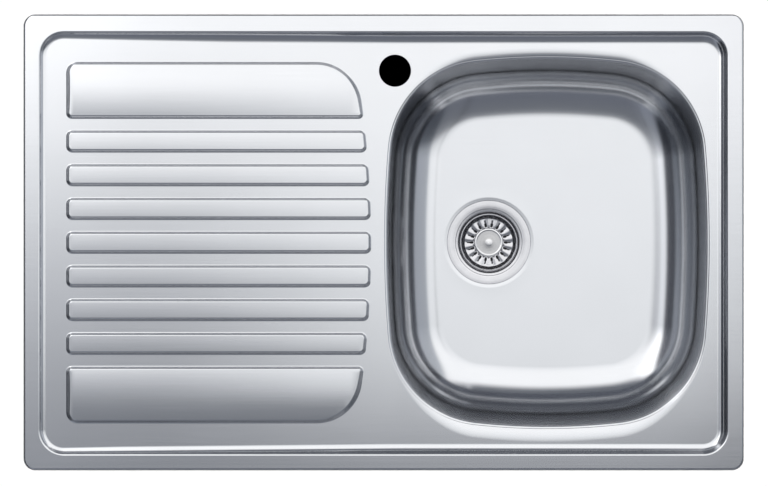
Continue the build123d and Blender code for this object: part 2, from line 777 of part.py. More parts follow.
# ================================================================ overflow
tilt = radians(bowl_side_draft)
outward = (-cos(tilt), 0, -sin(tilt))
overflow_origin = (wall_x + sheet * outward[0], 0, wall_level + sheet * outward[2])
overflow_plane = Plane(overflow_origin, x_dir=(0, -1, 0), z_dir=outward)
gasket_face = overflow_gasket_gap
box_face = gasket_face + overflow_gasket_thickness
outlet_offset = box_face + socket_radius  # the outlet's axis, from the bowl's wall
box_half_height = overflow_window_height / 2 + overflow_box_wall
ear_radius = (overflow_flange_length - overflow_stud_spacing) / 2

with BuildPart() as overflow_gasket:
    with BuildSketch(overflow_plane.offset(gasket_face)):
        SlotOverall(overflow_gasket_length, overflow_gasket_height)
        SlotOverall(overflow_window_length, overflow_window_height, mode=Mode.SUBTRACT)
    extrude(amount=overflow_gasket_thickness)
finish(overflow_gasket, "overflow_gasket")

with BuildPart() as overflow_box:
    with BuildSketch(overflow_plane.offset(box_face)):
        SlotOverall(overflow_gasket_length, overflow_gasket_height)
        SlotOverall(overflow_flange_length, 2 * ear_radius)
    extrude(amount=overflow_flange_thickness)
    with BuildSketch(overflow_plane.offset(box_face)):
        SlotOverall(overflow_window_length + 2 * overflow_box_wall, 2 * box_half_height)
    extrude(amount=overflow_box_depth)
    outlet_origin = overflow_plane.from_local_coords((0, 0, outlet_offset))
    socket_top = Plane(outlet_origin, x_dir=(0, -1, 0), z_dir=-overflow_plane.y_dir)
    with BuildSketch(socket_top):
        Circle(socket_radius)
    extrude(amount=box_half_height + socket_reach)
    with BuildSketch(overflow_plane.offset(box_face)):
        SlotOverall(overflow_window_length, overflow_window_height)
    extrude(amount=overflow_box_depth - overflow_box_wall, mode=Mode.SUBTRACT)
    with BuildSketch(socket_top):
        Circle(pipe_bore)
    extrude(amount=box_half_height + socket_reach, mode=Mode.SUBTRACT)
    with BuildSketch(socket_top.offset(box_half_height + socket_reach - socket_depth)):
        Circle(socket_bore)
    extrude(amount=socket_depth, mode=Mode.SUBTRACT)
    with BuildSketch(overflow_plane.offset(box_face)):
        with GridLocations(overflow_stud_spacing, 1, 2, 1):
            Circle(stud_diameter / 2 + loose_clearance)
    extrude(amount=overflow_flange_thickness, mode=Mode.SUBTRACT)
finish(overflow_box, "overflow_box")

# the bowed wall falls away on both sides of the row of holes, and the studs follow it
stud_near_y = (overflow_stud_spacing - stud_diameter) / 2
wall_bow = bowl_side_bow - sqrt(bowl_side_bow**2 - stud_near_y**2)
for number, side in enumerate((-1, 1), start=1):
    stud_at = Location((side * overflow_stud_spacing / 2, 0, 0))
    with BuildPart() as overflow_stud:
        with BuildSketch(overflow_plane.offset(stud_seat_gap - wall_bow * cos(tilt)) * stud_at):
            Circle(stud_diameter / 2)
        extrude(amount=stud_length)
    finish(overflow_stud, f"overflow_stud_{number}")
    with BuildPart() as overflow_nut:
        with BuildSketch(overflow_plane.offset(box_face + overflow_flange_thickness) * stud_at):
            RegularPolygon(nut_across_flats / 2, 6, major_radius=False)
            Circle(stud_diameter / 2 + thread_clearance, mode=Mode.SUBTRACT)
        extrude(amount=nut_height)
    finish(overflow_nut, f"overflow_nut_{number}")

pipe_top = overflow_plane.from_local_coords(
    (0, -box_half_height - socket_reach + socket_depth - pipe_clearance, outlet_offset)
)
run_down = pipe_top.Z - inlet_level
pipe_corner = (pipe_top.X + run_down * tan(tilt), 0, inlet_level)
pipe_end = (inlet_end_x + socket_depth - pipe_clearance, 0, inlet_level)
with BuildPart() as overflow_pipe:
    with BuildLine() as pipe_path:
        FilletPolyline(pipe_top, pipe_corner, pipe_end, radius=pipe_bend_radius)
    with BuildSketch(Plane(pipe_top, x_dir=(0, -1, 0), z_dir=-overflow_plane.y_dir)):
        Circle(pipe_radius)
        Circle(pipe_bore, mode=Mode.SUBTRACT)
    sweep(path=pipe_path.wires()[0])
finish(overflow_pipe, "overflow_pipe")

nut_plane = Plane((inlet_end_x, 0, inlet_level), x_dir=(0, 1, 0), z_dir=(-1, 0, 0))
with BuildPart() as inlet_seal:
    with BuildSketch(nut_plane):
        Circle(socket_radius)
        Circle(pipe_radius + pipe_clearance / 2, mode=Mode.SUBTRACT)
    extrude(amount=inlet_seal_length)
finish(inlet_seal, "inlet_seal")

with BuildPart() as inlet_nut:
    nut_bore = socket_radius + pipe_clearance
    nut_radius = nut_bore + cap_nut_wall
    with BuildSketch(nut_plane.offset(inlet_seal_length + cap_nut_lip - cap_nut_length)):
        Circle(nut_radius)
        with PolarLocations(nut_radius, cap_nut_ribs):
            Circle(cap_nut_wall / 2)
        Circle(pipe_radius + 2 * pipe_clearance, mode=Mode.SUBTRACT)
    extrude(amount=cap_nut_length)
    with BuildSketch(nut_plane.offset(inlet_seal_length + cap_nut_lip - cap_nut_length)):
        Circle(nut_bore)
    extrude(amount=cap_nut_length - cap_nut_lip, mode=Mode.SUBTRACT)
finish(inlet_nut, "inlet_nut")

# ================================================================ clamps
arm_top = -bracket_foot_drop - clamp_top_gap - clamp_travel
washer_top = arm_top - arm_thickness - stack_gap
nut_top = washer_top - washer_thickness - stack_gap
stud_end = nut_top - wing_nut_height - clamp_stud_spare
clamp_stud_radius = clamp_stud_diameter / 2
half_cutout_length = overall_length / 2 - cutout_inset
half_cutout_width = overall_width / 2 - cutout_inset

# one clamp in its own coordinates: +X outwards across the edge of the worktop's opening, which is X = 0
with BuildPart() as bracket_form:
    plate_face = -bracket_gap
    plate_back = plate_face - bracket_thickness
    foot_top = -bracket_foot_drop + bracket_foot_thickness
    with BuildSketch(Plane.XZ):
        with BuildLine():
            Polyline(
                (plate_face, rim_underside),
                (plate_face, -bracket_foot_drop),
                (-bracket_foot_reach, -bracket_foot_drop),
                (-bracket_foot_reach, foot_top),
                (plate_back, foot_top),
                (plate_back, rim_underside - bracket_thickness),
                (plate_face - bracket_tab, rim_underside - bracket_thickness),
                (plate_face - bracket_tab, rim_underside),
                close=True,
            )
        make_face()
    extrude(amount=bracket_width / 2, both=True)
    bends = bracket_form.edges().filter_by(Axis.Y)
    outer_bend = bends.sort_by(
        lambda e: hypot(e.center().X - plate_face, e.center().Z + bracket_foot_drop)
    )[0]
    fillet(outer_bend, bracket_thickness)
    with BuildSketch(Plane((-stud_inset, 0, foot_top))):
        Circle(clamp_stud_radius)
    extrude(amount=stud_end - foot_top)
    chamfer(bracket_form.faces().sort_by(Axis.Z)[0].edges(), clamp_stud_chamfer)

# at rest the arm lies along the edge, inside the opening
with BuildPart() as arm_form:
    with BuildSketch(Plane((-stud_inset, 0, arm_top))):
        Circle(arm_width / 2)
        with Locations((0, -arm_reach / 2)):
            Rectangle(arm_width, arm_reach)
    extrude(amount=-arm_thickness)
    with BuildSketch(Plane((-stud_inset, 0, arm_top - arm_thickness))):
        with Locations((0, -arm_reach + arm_thickness / 2)):
            Rectangle(arm_width, arm_thickness)
    extrude(amount=arm_thickness + arm_tooth)
    with BuildSketch(Plane((-stud_inset, 0, arm_top))):
        Circle(clamp_stud_radius + loose_clearance)
    extrude(amount=-arm_thickness, mode=Mode.SUBTRACT)

with BuildPart() as washer_form:
    with BuildSketch(Plane((-stud_inset, 0, washer_top))):
        Circle(washer_diameter / 2)
        Circle(clamp_stud_radius + loose_clearance, mode=Mode.SUBTRACT)
    extrude(amount=-washer_thickness)

with BuildPart() as nut_form:
    with BuildSketch(Plane((-stud_inset, 0, nut_top))):
        Circle(wing_nut_diameter / 2)
    extrude(amount=-wing_nut_height)
    with BuildSketch(Plane((-stud_inset, 0, 0), x_dir=(1, 0, 0), z_dir=(0, -1, 0))):
        wing_top = nut_top - wing_start
        shoulder_top = wing_top - wing_fall
        with BuildLine():
            Polyline(
                (0, wing_top),
                (wing_span / 2 - wing_shoulder[0], shoulder_top),
                (wing_span / 2, shoulder_top - wing_shoulder[1]),
                (wing_span / 2 - wing_tip_inset, wing_top - wing_height),
                (wing_nut_diameter / 2, wing_top - wing_root_height),
                (0, nut_top - wing_nut_height),
                close=True,
            )
        make_face()
        mirror(about=Plane.YZ)
    extrude(amount=wing_thickness / 2, both=True)
    with BuildSketch(Plane((-stud_inset, 0, nut_top))):
        Circle(clamp_stud_radius + nut_clearance)
    extrude(amount=-wing_nut_height - wing_height, mode=Mode.SUBTRACT)

clamp_places = []
for side in (1, -1):
    for x in (-clamp_spread_x, clamp_middle_x, clamp_spread_x):
        clamp_places.append(Location((x, side * half_cutout_width, 0), (0, 0, side * 90)))
clamp_places.append(Location((half_cutout_length, 0, 0)))
clamp_places.append(Location((-half_cutout_length, 0, 0), (0, 0, 180)))

forms = {"bracket": bracket_form, "arm": arm_form, "washer": washer_form, "wing_nut": nut_form}
for number, place in enumerate(clamp_places, start=1):
    for kind, form in forms.items():
        with BuildPart() as piece:
            with Locations(place):
                add(form.part)
        finish(piece, f"clamp_{kind}_{number}")
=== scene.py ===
"""Inset stainless steel kitchen sink with a ribbed drainer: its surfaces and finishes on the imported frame.

The frame is in metres: +X to the bowl end, +Y to the tap ledge, +Z up, its origin on the worktop's plane.
Lengths below are in millimetres unless their names end in _m.
"""
import json
import math

import bmesh
import bpy
import numpy as np
from mathutils.geometry import delaunay_2d_cdt
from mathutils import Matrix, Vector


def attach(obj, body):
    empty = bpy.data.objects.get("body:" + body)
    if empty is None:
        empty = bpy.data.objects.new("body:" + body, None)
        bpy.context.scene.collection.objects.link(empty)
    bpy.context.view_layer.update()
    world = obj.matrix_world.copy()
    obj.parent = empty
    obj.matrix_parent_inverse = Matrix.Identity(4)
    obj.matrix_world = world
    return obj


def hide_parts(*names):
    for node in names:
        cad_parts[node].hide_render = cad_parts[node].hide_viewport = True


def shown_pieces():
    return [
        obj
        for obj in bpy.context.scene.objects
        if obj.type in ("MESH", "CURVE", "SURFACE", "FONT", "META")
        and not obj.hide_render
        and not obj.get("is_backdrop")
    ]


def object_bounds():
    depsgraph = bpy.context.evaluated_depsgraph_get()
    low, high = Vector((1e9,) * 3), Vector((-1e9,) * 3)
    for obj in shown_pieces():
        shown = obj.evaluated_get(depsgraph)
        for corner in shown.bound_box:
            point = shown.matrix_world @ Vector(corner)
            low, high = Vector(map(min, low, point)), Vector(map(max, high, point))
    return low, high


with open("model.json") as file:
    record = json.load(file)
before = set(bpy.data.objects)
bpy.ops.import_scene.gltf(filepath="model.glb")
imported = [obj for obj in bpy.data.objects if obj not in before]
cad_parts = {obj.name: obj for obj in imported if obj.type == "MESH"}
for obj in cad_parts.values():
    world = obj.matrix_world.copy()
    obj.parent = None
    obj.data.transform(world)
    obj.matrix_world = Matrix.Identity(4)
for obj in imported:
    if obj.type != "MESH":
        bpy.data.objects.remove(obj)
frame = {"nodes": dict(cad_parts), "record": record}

cad_bounds = [list(corner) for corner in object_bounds()]
nodes = frame["nodes"]
MM = 0.001
SQUARE = ((1, 1), (-1, 1), (-1, -1), (1, -1))  # a square's corners, counter-clockwise

# ---- the pressing's driving sizes
overall_length, overall_width = 790.0, 500.0
outer_corner_radius = 13.0
sheet = 0.8
rim_height, rim_band, rim_edge_radius, lip_foot = 6.0, 17.5, 2.5, 0.3
deck_drop_drainer, deck_drop_bowl = 4.5, 9.0
step_angle, step_corner_radius = 55.0, 27.0
step_brow_radius, step_foot_radius = 3.0, 10.0
rear_step_shift, rear_foot_extra, rear_share_reach = 1.9, 3.0, 150.0
slope_end_x, slope_blend_radius = 15.0, 1500.0

bar_count, bar_pitch, bar_width, bar_corner_radius = 7, 37.0, 23.6, 6.5
ridge_left_x, ridge_right_x, ridge_end_bow = -348.0, -13.8, 1140.0
panel_width, panel_gap = 61.8, 13.4
panel_inner_left_radius, panel_inner_right_radius = 6.0, 5.0
panel_outer_right_radius, panel_outer_left_radius = 50.0, 12.0
ridge_height, ridge_crown_radius, ridge_wall_angle = 2.8, 350.0, 48.0
ridge_brow_radius, ridge_foot_radius = 2.0, 2.0

bowl_x, bowl_length, bowl_width, bowl_depth = 179.3, 350.2, 403.6, 150.0
bowl_side_draft, bowl_end_draft = 3.1, 6.1
bowl_side_bow, bowl_end_bow = 1278.0, 724.0
bowl_corner_radius, bowl_floor_corner_radius = 103.0, 98.0
bowl_foot_radius = 54.0
# the soft lead into the bowl at its rear and front
shoulder_reach, front_shoulder_reach, shoulder_angle = 9.0, 14.0, 13.0
shoulder_side_share, shoulder_fade = 0.05, 4  # what is left of it at the sides, and how fast it fades there
ledge_lip_radius, ledge_lip_angle = 1.6, 48.0  # the fine ledge that follows the bowl's mouth
ledge_foot_radius, ledge_angle, ledge_brow_radius = 0.7, 4.0, 3.0
floor_dish_radius = 4500.0

tap_hole_radius, tap_hole_x, tap_hole_y = 17.5, 12.5, 188.5
drain_x, recess_radius, recess_depth, recess_wall_angle = 117.7, 50.5, 3.0, 74.0
recess_cone_angle, recess_cone_reach, recess_brow_radius = 5.5, 3.4, 12.0
recess_edge_radius, recess_foot_radius, waste_hole_radius = 0.5, 0.5, 38.5
overflow_hole_count, overflow_hole_radius, overflow_hole_pitch, overflow_hole_drop = 5, 3.5, 10.5, 38.0
deburr, deburr_angle = 0.25, 60  # the rounding of a punched edge

deck_level = rim_height - deck_drop_bowl
floor_level = deck_level - bowl_depth
recess_level = floor_level - recess_depth
step_half_x = overall_length / 2 - rim_band
step_half_y = overall_width / 2 - rim_band
drainer_level = rim_height - deck_drop_drainer
slope = math.atan((drainer_level - deck_level) / (slope_end_x + step_half_x))
half_bend = slope_blend_radius * math.tan(slope / 2)

# ---- how finely the pressing is meshed
corner_steps, bowl_steps, circle_steps = 20, 26, 72
brow_steps, foot_steps, shoulder_steps, bend_steps = 6, 7, 6, 9
ledge_steps, ledge_brow_steps, bowl_foot_steps, deburr_steps = 4, 9, 17, 3
ridge_corner_steps = (12, 14, 18, 12)  # left low, right low, right high, left high
ridge_side_steps, ridge_end_steps = 40, 6
side_x = np.concatenate((np.linspace(-340, -20, 33), np.linspace(0, 30, 11), np.linspace(45, 340, 24)))
side_y = np.linspace(-200, 200, 27)
bend_reach_y, bend_cell_y = 220, 10.0
crown_margin, crown_cell_x, crown_cell_y = 4, 8.0, 2.5
wall_margin_low, wall_margin_high, wall_cell_y, wall_rows = 5, 4, 5.0, 9
floor_margin, floor_reach, floor_cell, floor_rays = 14, 300, 12.0, 48
tap_margin = 2


class Sheet:
    """A thin sheet's upper face: points, their normals, and the faces between them, in millimetres."""

    def __init__(self):
        self.points, self.normals, self.faces = [], [], []

    def add(self, points, normals):
        """Takes in points with their normals and returns their numbers."""
        first = len(self.points)
        normals = np.asarray(normals, float)
        normals = normals / np.linalg.norm(normals, axis=1)[:, None]
        self.points.extend(np.asarray(points, float).tolist())
        self.normals.extend(normals.tolist())
        return list(range(first, len(self.points)))

    def bridge(self, outer, inner, skip=()):
        """Quads between two closed loops of the same length, both counter-clockwise seen from above."""
        count = len(outer)
        for here in range(count):
            after = (here + 1) % count
            if here not in skip:
                self.faces.append((outer[here], outer[after], inner[after], inner[here]))

    def loft(self, loops, last=None):
        """Takes in loops with their normals and bridges each to the one before. Returns the end loops."""
        first = None
        for points, normals in loops:
            ring = self.add(points, normals)
            if last is not None:
                self.bridge(last, ring)
            first, last = first or ring, ring
        return first, last

    def fill(self, loops, inside, plane=(0, 1)):
        """Triangles between an outer loop and the loops of its holes, through the points inside.

        plane gives the two axes in which the loops are drawn.
        """
        numbers, edges = [], []
        for loop in loops:
            first = len(numbers)
            numbers.extend(loop)
            edges.extend((first + i, first + (i + 1) % len(loop)) for i in range(len(loop)))
        numbers.extend(inside)
        flat = [(self.points[n][plane[0]], self.points[n][plane[1]]) for n in numbers]
        triangles, origins = delaunay_2d_cdt(flat, edges, [], 0, 1e-5, True)[2:4]
        flat = np.array(flat)
        corners = np.array([[origins[corner][0] for corner in face] for face in triangles])
        middles = flat[corners].mean(axis=1)
        kept, first = np.ones(len(corners), bool), 0
        for number, loop in enumerate(loops):
            within = inside_loop(middles, flat[first : first + len(loop)])
            kept &= within if number == 0 else ~within
            first += len(loop)
        self.faces.extend(tuple(numbers[corner] for corner in face) for face in corners[kept])


def inside_loop(points, loop):
    """Which plan points lie within a closed loop."""
    within = np.zeros(len(points), bool)
    for (x1, y1), (x2, y2) in zip(loop, np.roll(loop, -1, axis=0)):
        if y1 != y2:
            crosses = (points[:, 1] < y1) != (points[:, 1] < y2)
            within ^= crosses & (points[:, 0] < x1 + (x2 - x1) * (points[:, 1] - y1) / (y2 - y1))
    return within


def local_slope(x):
    """The deck's downward slope along +X, in radians."""
    return slope * np.clip((slope_end_x + half_bend - x) / (2 * half_bend), 0, 1)


def deck_z(x):
    """The deck's height: sloping on the drainer, level round the bowl."""
    x = np.asarray(x, float)
    past = np.clip(slope_end_x + half_bend - x, 0, 2 * half_bend)
    blend = past**2 / (2 * slope_blend_radius)
    return deck_level + blend + np.clip(slope_end_x - half_bend - x, 0, None) * math.tan(slope)


def deck_normals(x):
    """The deck's normals at some places along X."""
    tilt = local_slope(np.asarray(x, float))
    return np.column_stack((np.sin(tilt), np.zeros_like(tilt), np.cos(tilt)))


def arc(centre, radius, turn):
    """Points at some turns about a centre, and their outward normals."""
    outward = np.column_stack((np.cos(turn), np.sin(turn)))
    return centre + radius * outward, outward


def line(start, stop, count, outward):
    """The points between two others, and their outward normals."""
    points = np.linspace(start, stop, count + 1)[1:-1]
    return points, np.tile(outward, (len(points), 1))


def joined(runs):
    """The points and the outward normals of several runs, end to end."""
    return tuple(np.vstack(part) for part in zip(*runs))


def rounded_loop(half_x, half_y, radius):
    """A rounded rectangle's points and outward normals, counter-clockwise from its right side's end."""
    runs = []
    quarter = np.linspace(0, math.pi / 2, corner_steps + 1)
    for corner, (x, y) in enumerate(SQUARE):
        centre = (x * (half_x - radius), y * (half_y - radius))
        runs.append(arc(centre, radius, quarter + corner * math.pi / 2))
        along, fixed = (side_y, x * half_x) if corner % 2 else (side_x, y * half_y)
        side = np.column_stack((along if corner > 1 else along[::-1], np.full(len(along), fixed)))
        runs.append((side[:, ::-1] if corner % 2 else side, np.tile(runs[-1][1][-1], (len(along), 1))))
    return joined(runs)


def circle_loop(x, y, radius, steps=circle_steps):
    """A circle's points and outward normals, counter-clockwise."""
    return arc((x, y), radius, np.linspace(0, 2 * math.pi, steps, endpoint=False))


def raised(flat, z):
    """Plan points with their heights."""
    return np.column_stack((flat, np.broadcast_to(z, len(flat))))


def leaning(flat, outward, z, turn):
    """Plan points at their heights, with normals that lean outwards from upright by a turn."""
    across, up = (np.broadcast_to(part, len(flat))[:, None] for part in (np.sin(turn), np.cos(turn)))
    return raised(flat, z), np.hstack((outward * across, up))


def rim_and_step(body):
    """The lip, the rim and the step down to the deck. Returns the lip's foot and the step's foot."""
    half_x, half_y, wall = overall_length / 2, overall_width / 2, math.radians(step_angle)

    def loops():
        flat, outward = rounded_loop(half_x, half_y, outer_corner_radius)
        yield leaning(flat, outward, lip_foot, math.pi / 2)
        for turn in np.linspace(0, math.pi / 2, 2 * brow_steps + 1):
            inset = rim_edge_radius * (1 - math.cos(turn))
            z = rim_height - rim_edge_radius * (1 - math.sin(turn))
            flat, outward = rounded_loop(half_x - inset, half_y - inset, outer_corner_radius - inset)
            yield leaning(flat, outward, z, math.pi / 2 - turn)
        brow_reach = step_brow_radius * math.tan(wall / 2)
        for turn in np.linspace(0, wall, brow_steps + 1):
            inset = step_brow_radius * math.sin(turn) - brow_reach
            z = rim_height - step_brow_radius * (1 - math.cos(turn))
            flat, outward = rounded_loop(step_half_x - inset, step_half_y - inset, step_corner_radius - inset)
            flat[:, 1] -= rear_step_shift * rear_share(flat)
            yield leaning(flat, -outward, z, turn)
        flat, outward = rounded_loop(step_half_x, step_half_y, step_corner_radius)
        wished = step_foot_radius + rear_foot_extra * rear_share(flat) * np.clip(outward[:, 1], 0, 1)
        flat[:, 1] -= rear_step_shift * rear_share(flat)
        for turn in np.linspace(wall, 0, foot_steps + 1):
            points = flat.copy()
            for _ in range(2):  # the drop depends on where along the slope the foot ends
                z_deck = deck_z(points[:, 0])
                drop = rim_height - z_deck
                foot_radius = np.minimum(wished, drop / (1 - math.cos(wall)) - step_brow_radius)
                inset = drop / math.tan(wall) + foot_radius * (math.tan(wall / 2) - math.sin(turn))
                points = flat - outward * inset[:, None]
            slant = deck_normals(points[:, 0]) * (1 - turn / wall) * (1, 1, 0)
            points, normals = leaning(points, -outward, z_deck + foot_radius * (1 - math.cos(turn)), turn)
            yield points, normals + slant

    return body.loft(loops())


def rear_share(flat):
    """How much of the rear step's own shape a point takes: none in the front half, all at the rear."""
    return np.clip(flat[:, 1] / rear_share_reach, 0, 1)


def ridge_loop(low, high, radii, inset):
    """A ridge's outline, shrunk by inset: its points and outward normals, counter-clockwise.

    The radii run left low, right low, right high, left high.
    """
    bow, centre_x = ridge_end_bow - inset, ridge_right_x - ridge_end_bow
    left, low, high = ridge_left_x + inset, low + inset, high - inset
    corners = []
    for radius, right, top in zip(radii, (False, True, True, False), (False, False, True, True)):
        radius -= inset
        y = high - radius if top else low + radius
        x = centre_x + math.sqrt((bow - radius) ** 2 - y**2) if right else left + radius
        lean = math.asin(y / (bow - radius)) if right else 0.0
        corners.append((x, y, radius, lean))
    runs = []
    starts = (math.pi, 1.5 * math.pi, 0.0, 0.5 * math.pi)
    for index, ((x, y, radius, lean), start) in enumerate(zip(corners, starts)):
        begin = start + (lean if index == 2 else 0)
        end = start + math.pi / 2 + (lean if index == 1 else 0)
        runs.append(arc((x, y), radius, np.linspace(begin, end, ridge_corner_steps[index] + 1)))
        at, outward = (part[-1] for part in runs[-1])
        following = corners[(index + 1) % 4]
        if index in (0, 2):
            runs.append(line(at, (following[0], at[1]), ridge_side_steps, outward))
        elif index == 1:
            runs.append(arc((centre_x, 0), bow, np.linspace(lean, following[3], ridge_end_steps + 1)[1:-1]))
        else:
            runs.append(line(at, (left, following[1]), ridge_end_steps, outward))
    return joined(runs)


def ridge_list():
    """Each ridge as its two Y values and its four corner radii: the bars, then the two wide panels."""
    middles = [(bar - (bar_count - 1) / 2) * bar_pitch for bar in range(bar_count)]
    ridges = [(middle - bar_width / 2, middle + bar_width / 2, [bar_corner_radius] * 4) for middle in middles]
    inner = [panel_inner_left_radius, panel_inner_right_radius]
    outer = [panel_outer_right_radius, panel_outer_left_radius]
    near = (bar_count - 1) / 2 * bar_pitch + bar_width / 2 + panel_gap
    ridges.append((near, near + panel_width, inner + outer))
    ridges.append((-near - panel_width, -near, outer[::-1] + inner[::-1]))
    return ridges


def add_ridge(body, low, high, radii):
    """One crowned ridge. Returns the loop in which its foot meets the deck."""
    middle, half = (low + high) / 2, (high - low) / 2
    bottom = ridge_height - math.sqrt(ridge_crown_radius**2 - half**2)

    def crown(y):
        return bottom + np.sqrt(ridge_crown_radius**2 - (y - middle) ** 2)

    def crown_slope(y):
        return -(y - middle) / np.sqrt(ridge_crown_radius**2 - (y - middle) ** 2)

    wall = math.radians(ridge_wall_angle)

    def loops():
        foot_reach = ridge_foot_radius * math.tan(wall / 2)
        for turn in np.linspace(0, wall, brow_steps + 1):
            flat, outward = ridge_loop(low, high, radii, ridge_foot_radius * math.sin(turn) - foot_reach)
            z = ridge_foot_radius * (1 - math.cos(turn)) + deck_z(flat[:, 0])
            yield sloped(*leaning(flat, outward, z, turn))
        flat, outward = ridge_loop(low, high, radii, ridge_height / math.tan(wall))
        top, inward_slope = crown(flat[:, 1]), np.arctan(crown_slope(flat[:, 1]) * -outward[:, 1])
        extra = (top - ridge_height) / math.tan(wall)  # the ends rise higher in their middle
        tangent = ridge_brow_radius * np.tan((wall - inward_slope) / 2)
        start_in = extra - tangent * math.cos(wall) + ridge_brow_radius * math.sin(wall)
        start_z = top - tangent * math.sin(wall) - ridge_brow_radius * math.cos(wall)
        for share in np.linspace(0, 1, brow_steps + 1):
            turn = wall + (inward_slope - wall) * share
            points = flat - outward * (start_in - ridge_brow_radius * np.sin(turn))[:, None]
            z = start_z + ridge_brow_radius * np.cos(turn) + deck_z(points[:, 0])
            yield sloped(*leaning(points, outward, z, turn))

    first, last = body.loft(loops())
    edge = np.array([body.points[n] for n in last])
    (low_x, low_y), (high_x, high_y) = edge[:, :2].min(axis=0), edge[:, :2].max(axis=0)
    xs = np.arange(low_x + crown_margin, high_x - crown_margin / 2, crown_cell_x)
    ys = np.linspace(low_y, high_y, int(2 * half / crown_cell_y) + 1)[1:-1]
    grid = np.array([(x, y) for x in xs for y in ys])
    z = crown(grid[:, 1]) + deck_z(grid[:, 0])
    rise = np.column_stack((np.zeros(len(grid)), -crown_slope(grid[:, 1]), np.ones(len(grid))))
    inside = body.add(*sloped(raised(grid, z), rise))
    body.fill([last], inside)
    return first


def sloped(points, normals):
    """Points on the deck, and their normals turned with its slope."""
    normals = normals.copy()
    normals[:, 0] += np.tan(local_slope(points[:, 0])) * normals[:, 2]
    return points, normals


def bowl_loop(level):
    """The undressed bowl's outline at a height: points and outward normals, counter-clockwise."""
    below = deck_level - level
    half_length = bowl_length / 2 - below * math.tan(math.radians(bowl_side_draft))
    half_width = bowl_width / 2 - below * math.tan(math.radians(bowl_end_draft))
    radius = bowl_corner_radius - below * (bowl_corner_radius - bowl_floor_corner_radius) / bowl_depth
    side_centre, end_centre = half_length - bowl_side_bow, half_width - bowl_end_bow
    side, end = bowl_side_bow - radius, bowl_end_bow - radius
    apart = math.hypot(side_centre, end_centre)
    along = (side**2 - end**2 + apart**2) / (2 * apart)
    across = math.sqrt(side**2 - along**2)
    corner = (
        side_centre - (along * side_centre + across * end_centre) / apart,
        (along * end_centre - across * side_centre) / apart,
    )
    side_turn = math.atan2(corner[1], corner[0] - side_centre)
    end_turn = math.atan2(corner[1] - end_centre, corner[0])
    arcs = (
        ((side_centre, 0), bowl_side_bow, 0, side_turn),
        (corner, radius, side_turn, end_turn),
        ((0, end_centre), bowl_end_bow, end_turn, math.pi / 2),
    )
    runs = []
    for centre, reach, start, stop in arcs:
        runs.append(arc(centre, reach, np.linspace(start, stop, bowl_steps + 1)[:-1]))
    quarter, outward = joined([*runs, ([(0, half_width)], [(0, 1)])])
    runs = []
    for signs in SQUARE:
        piece = slice(None, -1) if signs[0] == signs[1] else slice(None, 0, -1)
        runs.append((quarter[piece] * signs, outward[piece] * signs))
    points, normals = joined(runs)
    return points + (bowl_x, 0), normals


def dish_z(flat):
    """The dished floor's height."""
    reach = np.hypot(flat[:, 0] - drain_x, flat[:, 1])
    return floor_level + floor_dish_radius - np.sqrt(floor_dish_radius**2 - reach**2)


def dish_normals(flat):
    """The dished floor's normals, which lean towards the waste."""
    away = (flat - (drain_x, 0)) / floor_dish_radius
    return np.column_stack((-away, np.sqrt(1 - (away**2).sum(axis=1))))


def bend(profile, radius, until, count):
    """Takes a profile of inset, drop and tilt round an arc. A negative radius turns it back."""
    inset, drop, tilt = profile[-1]
    for share in np.linspace(0, 1, count + 1)[1:]:
        turn = tilt + (until - tilt) * share
        further, lower = np.sin(turn) - np.sin(tilt), np.cos(tilt) - np.cos(turn)
        profile.append((inset + radius * further, drop + radius * lower, turn))


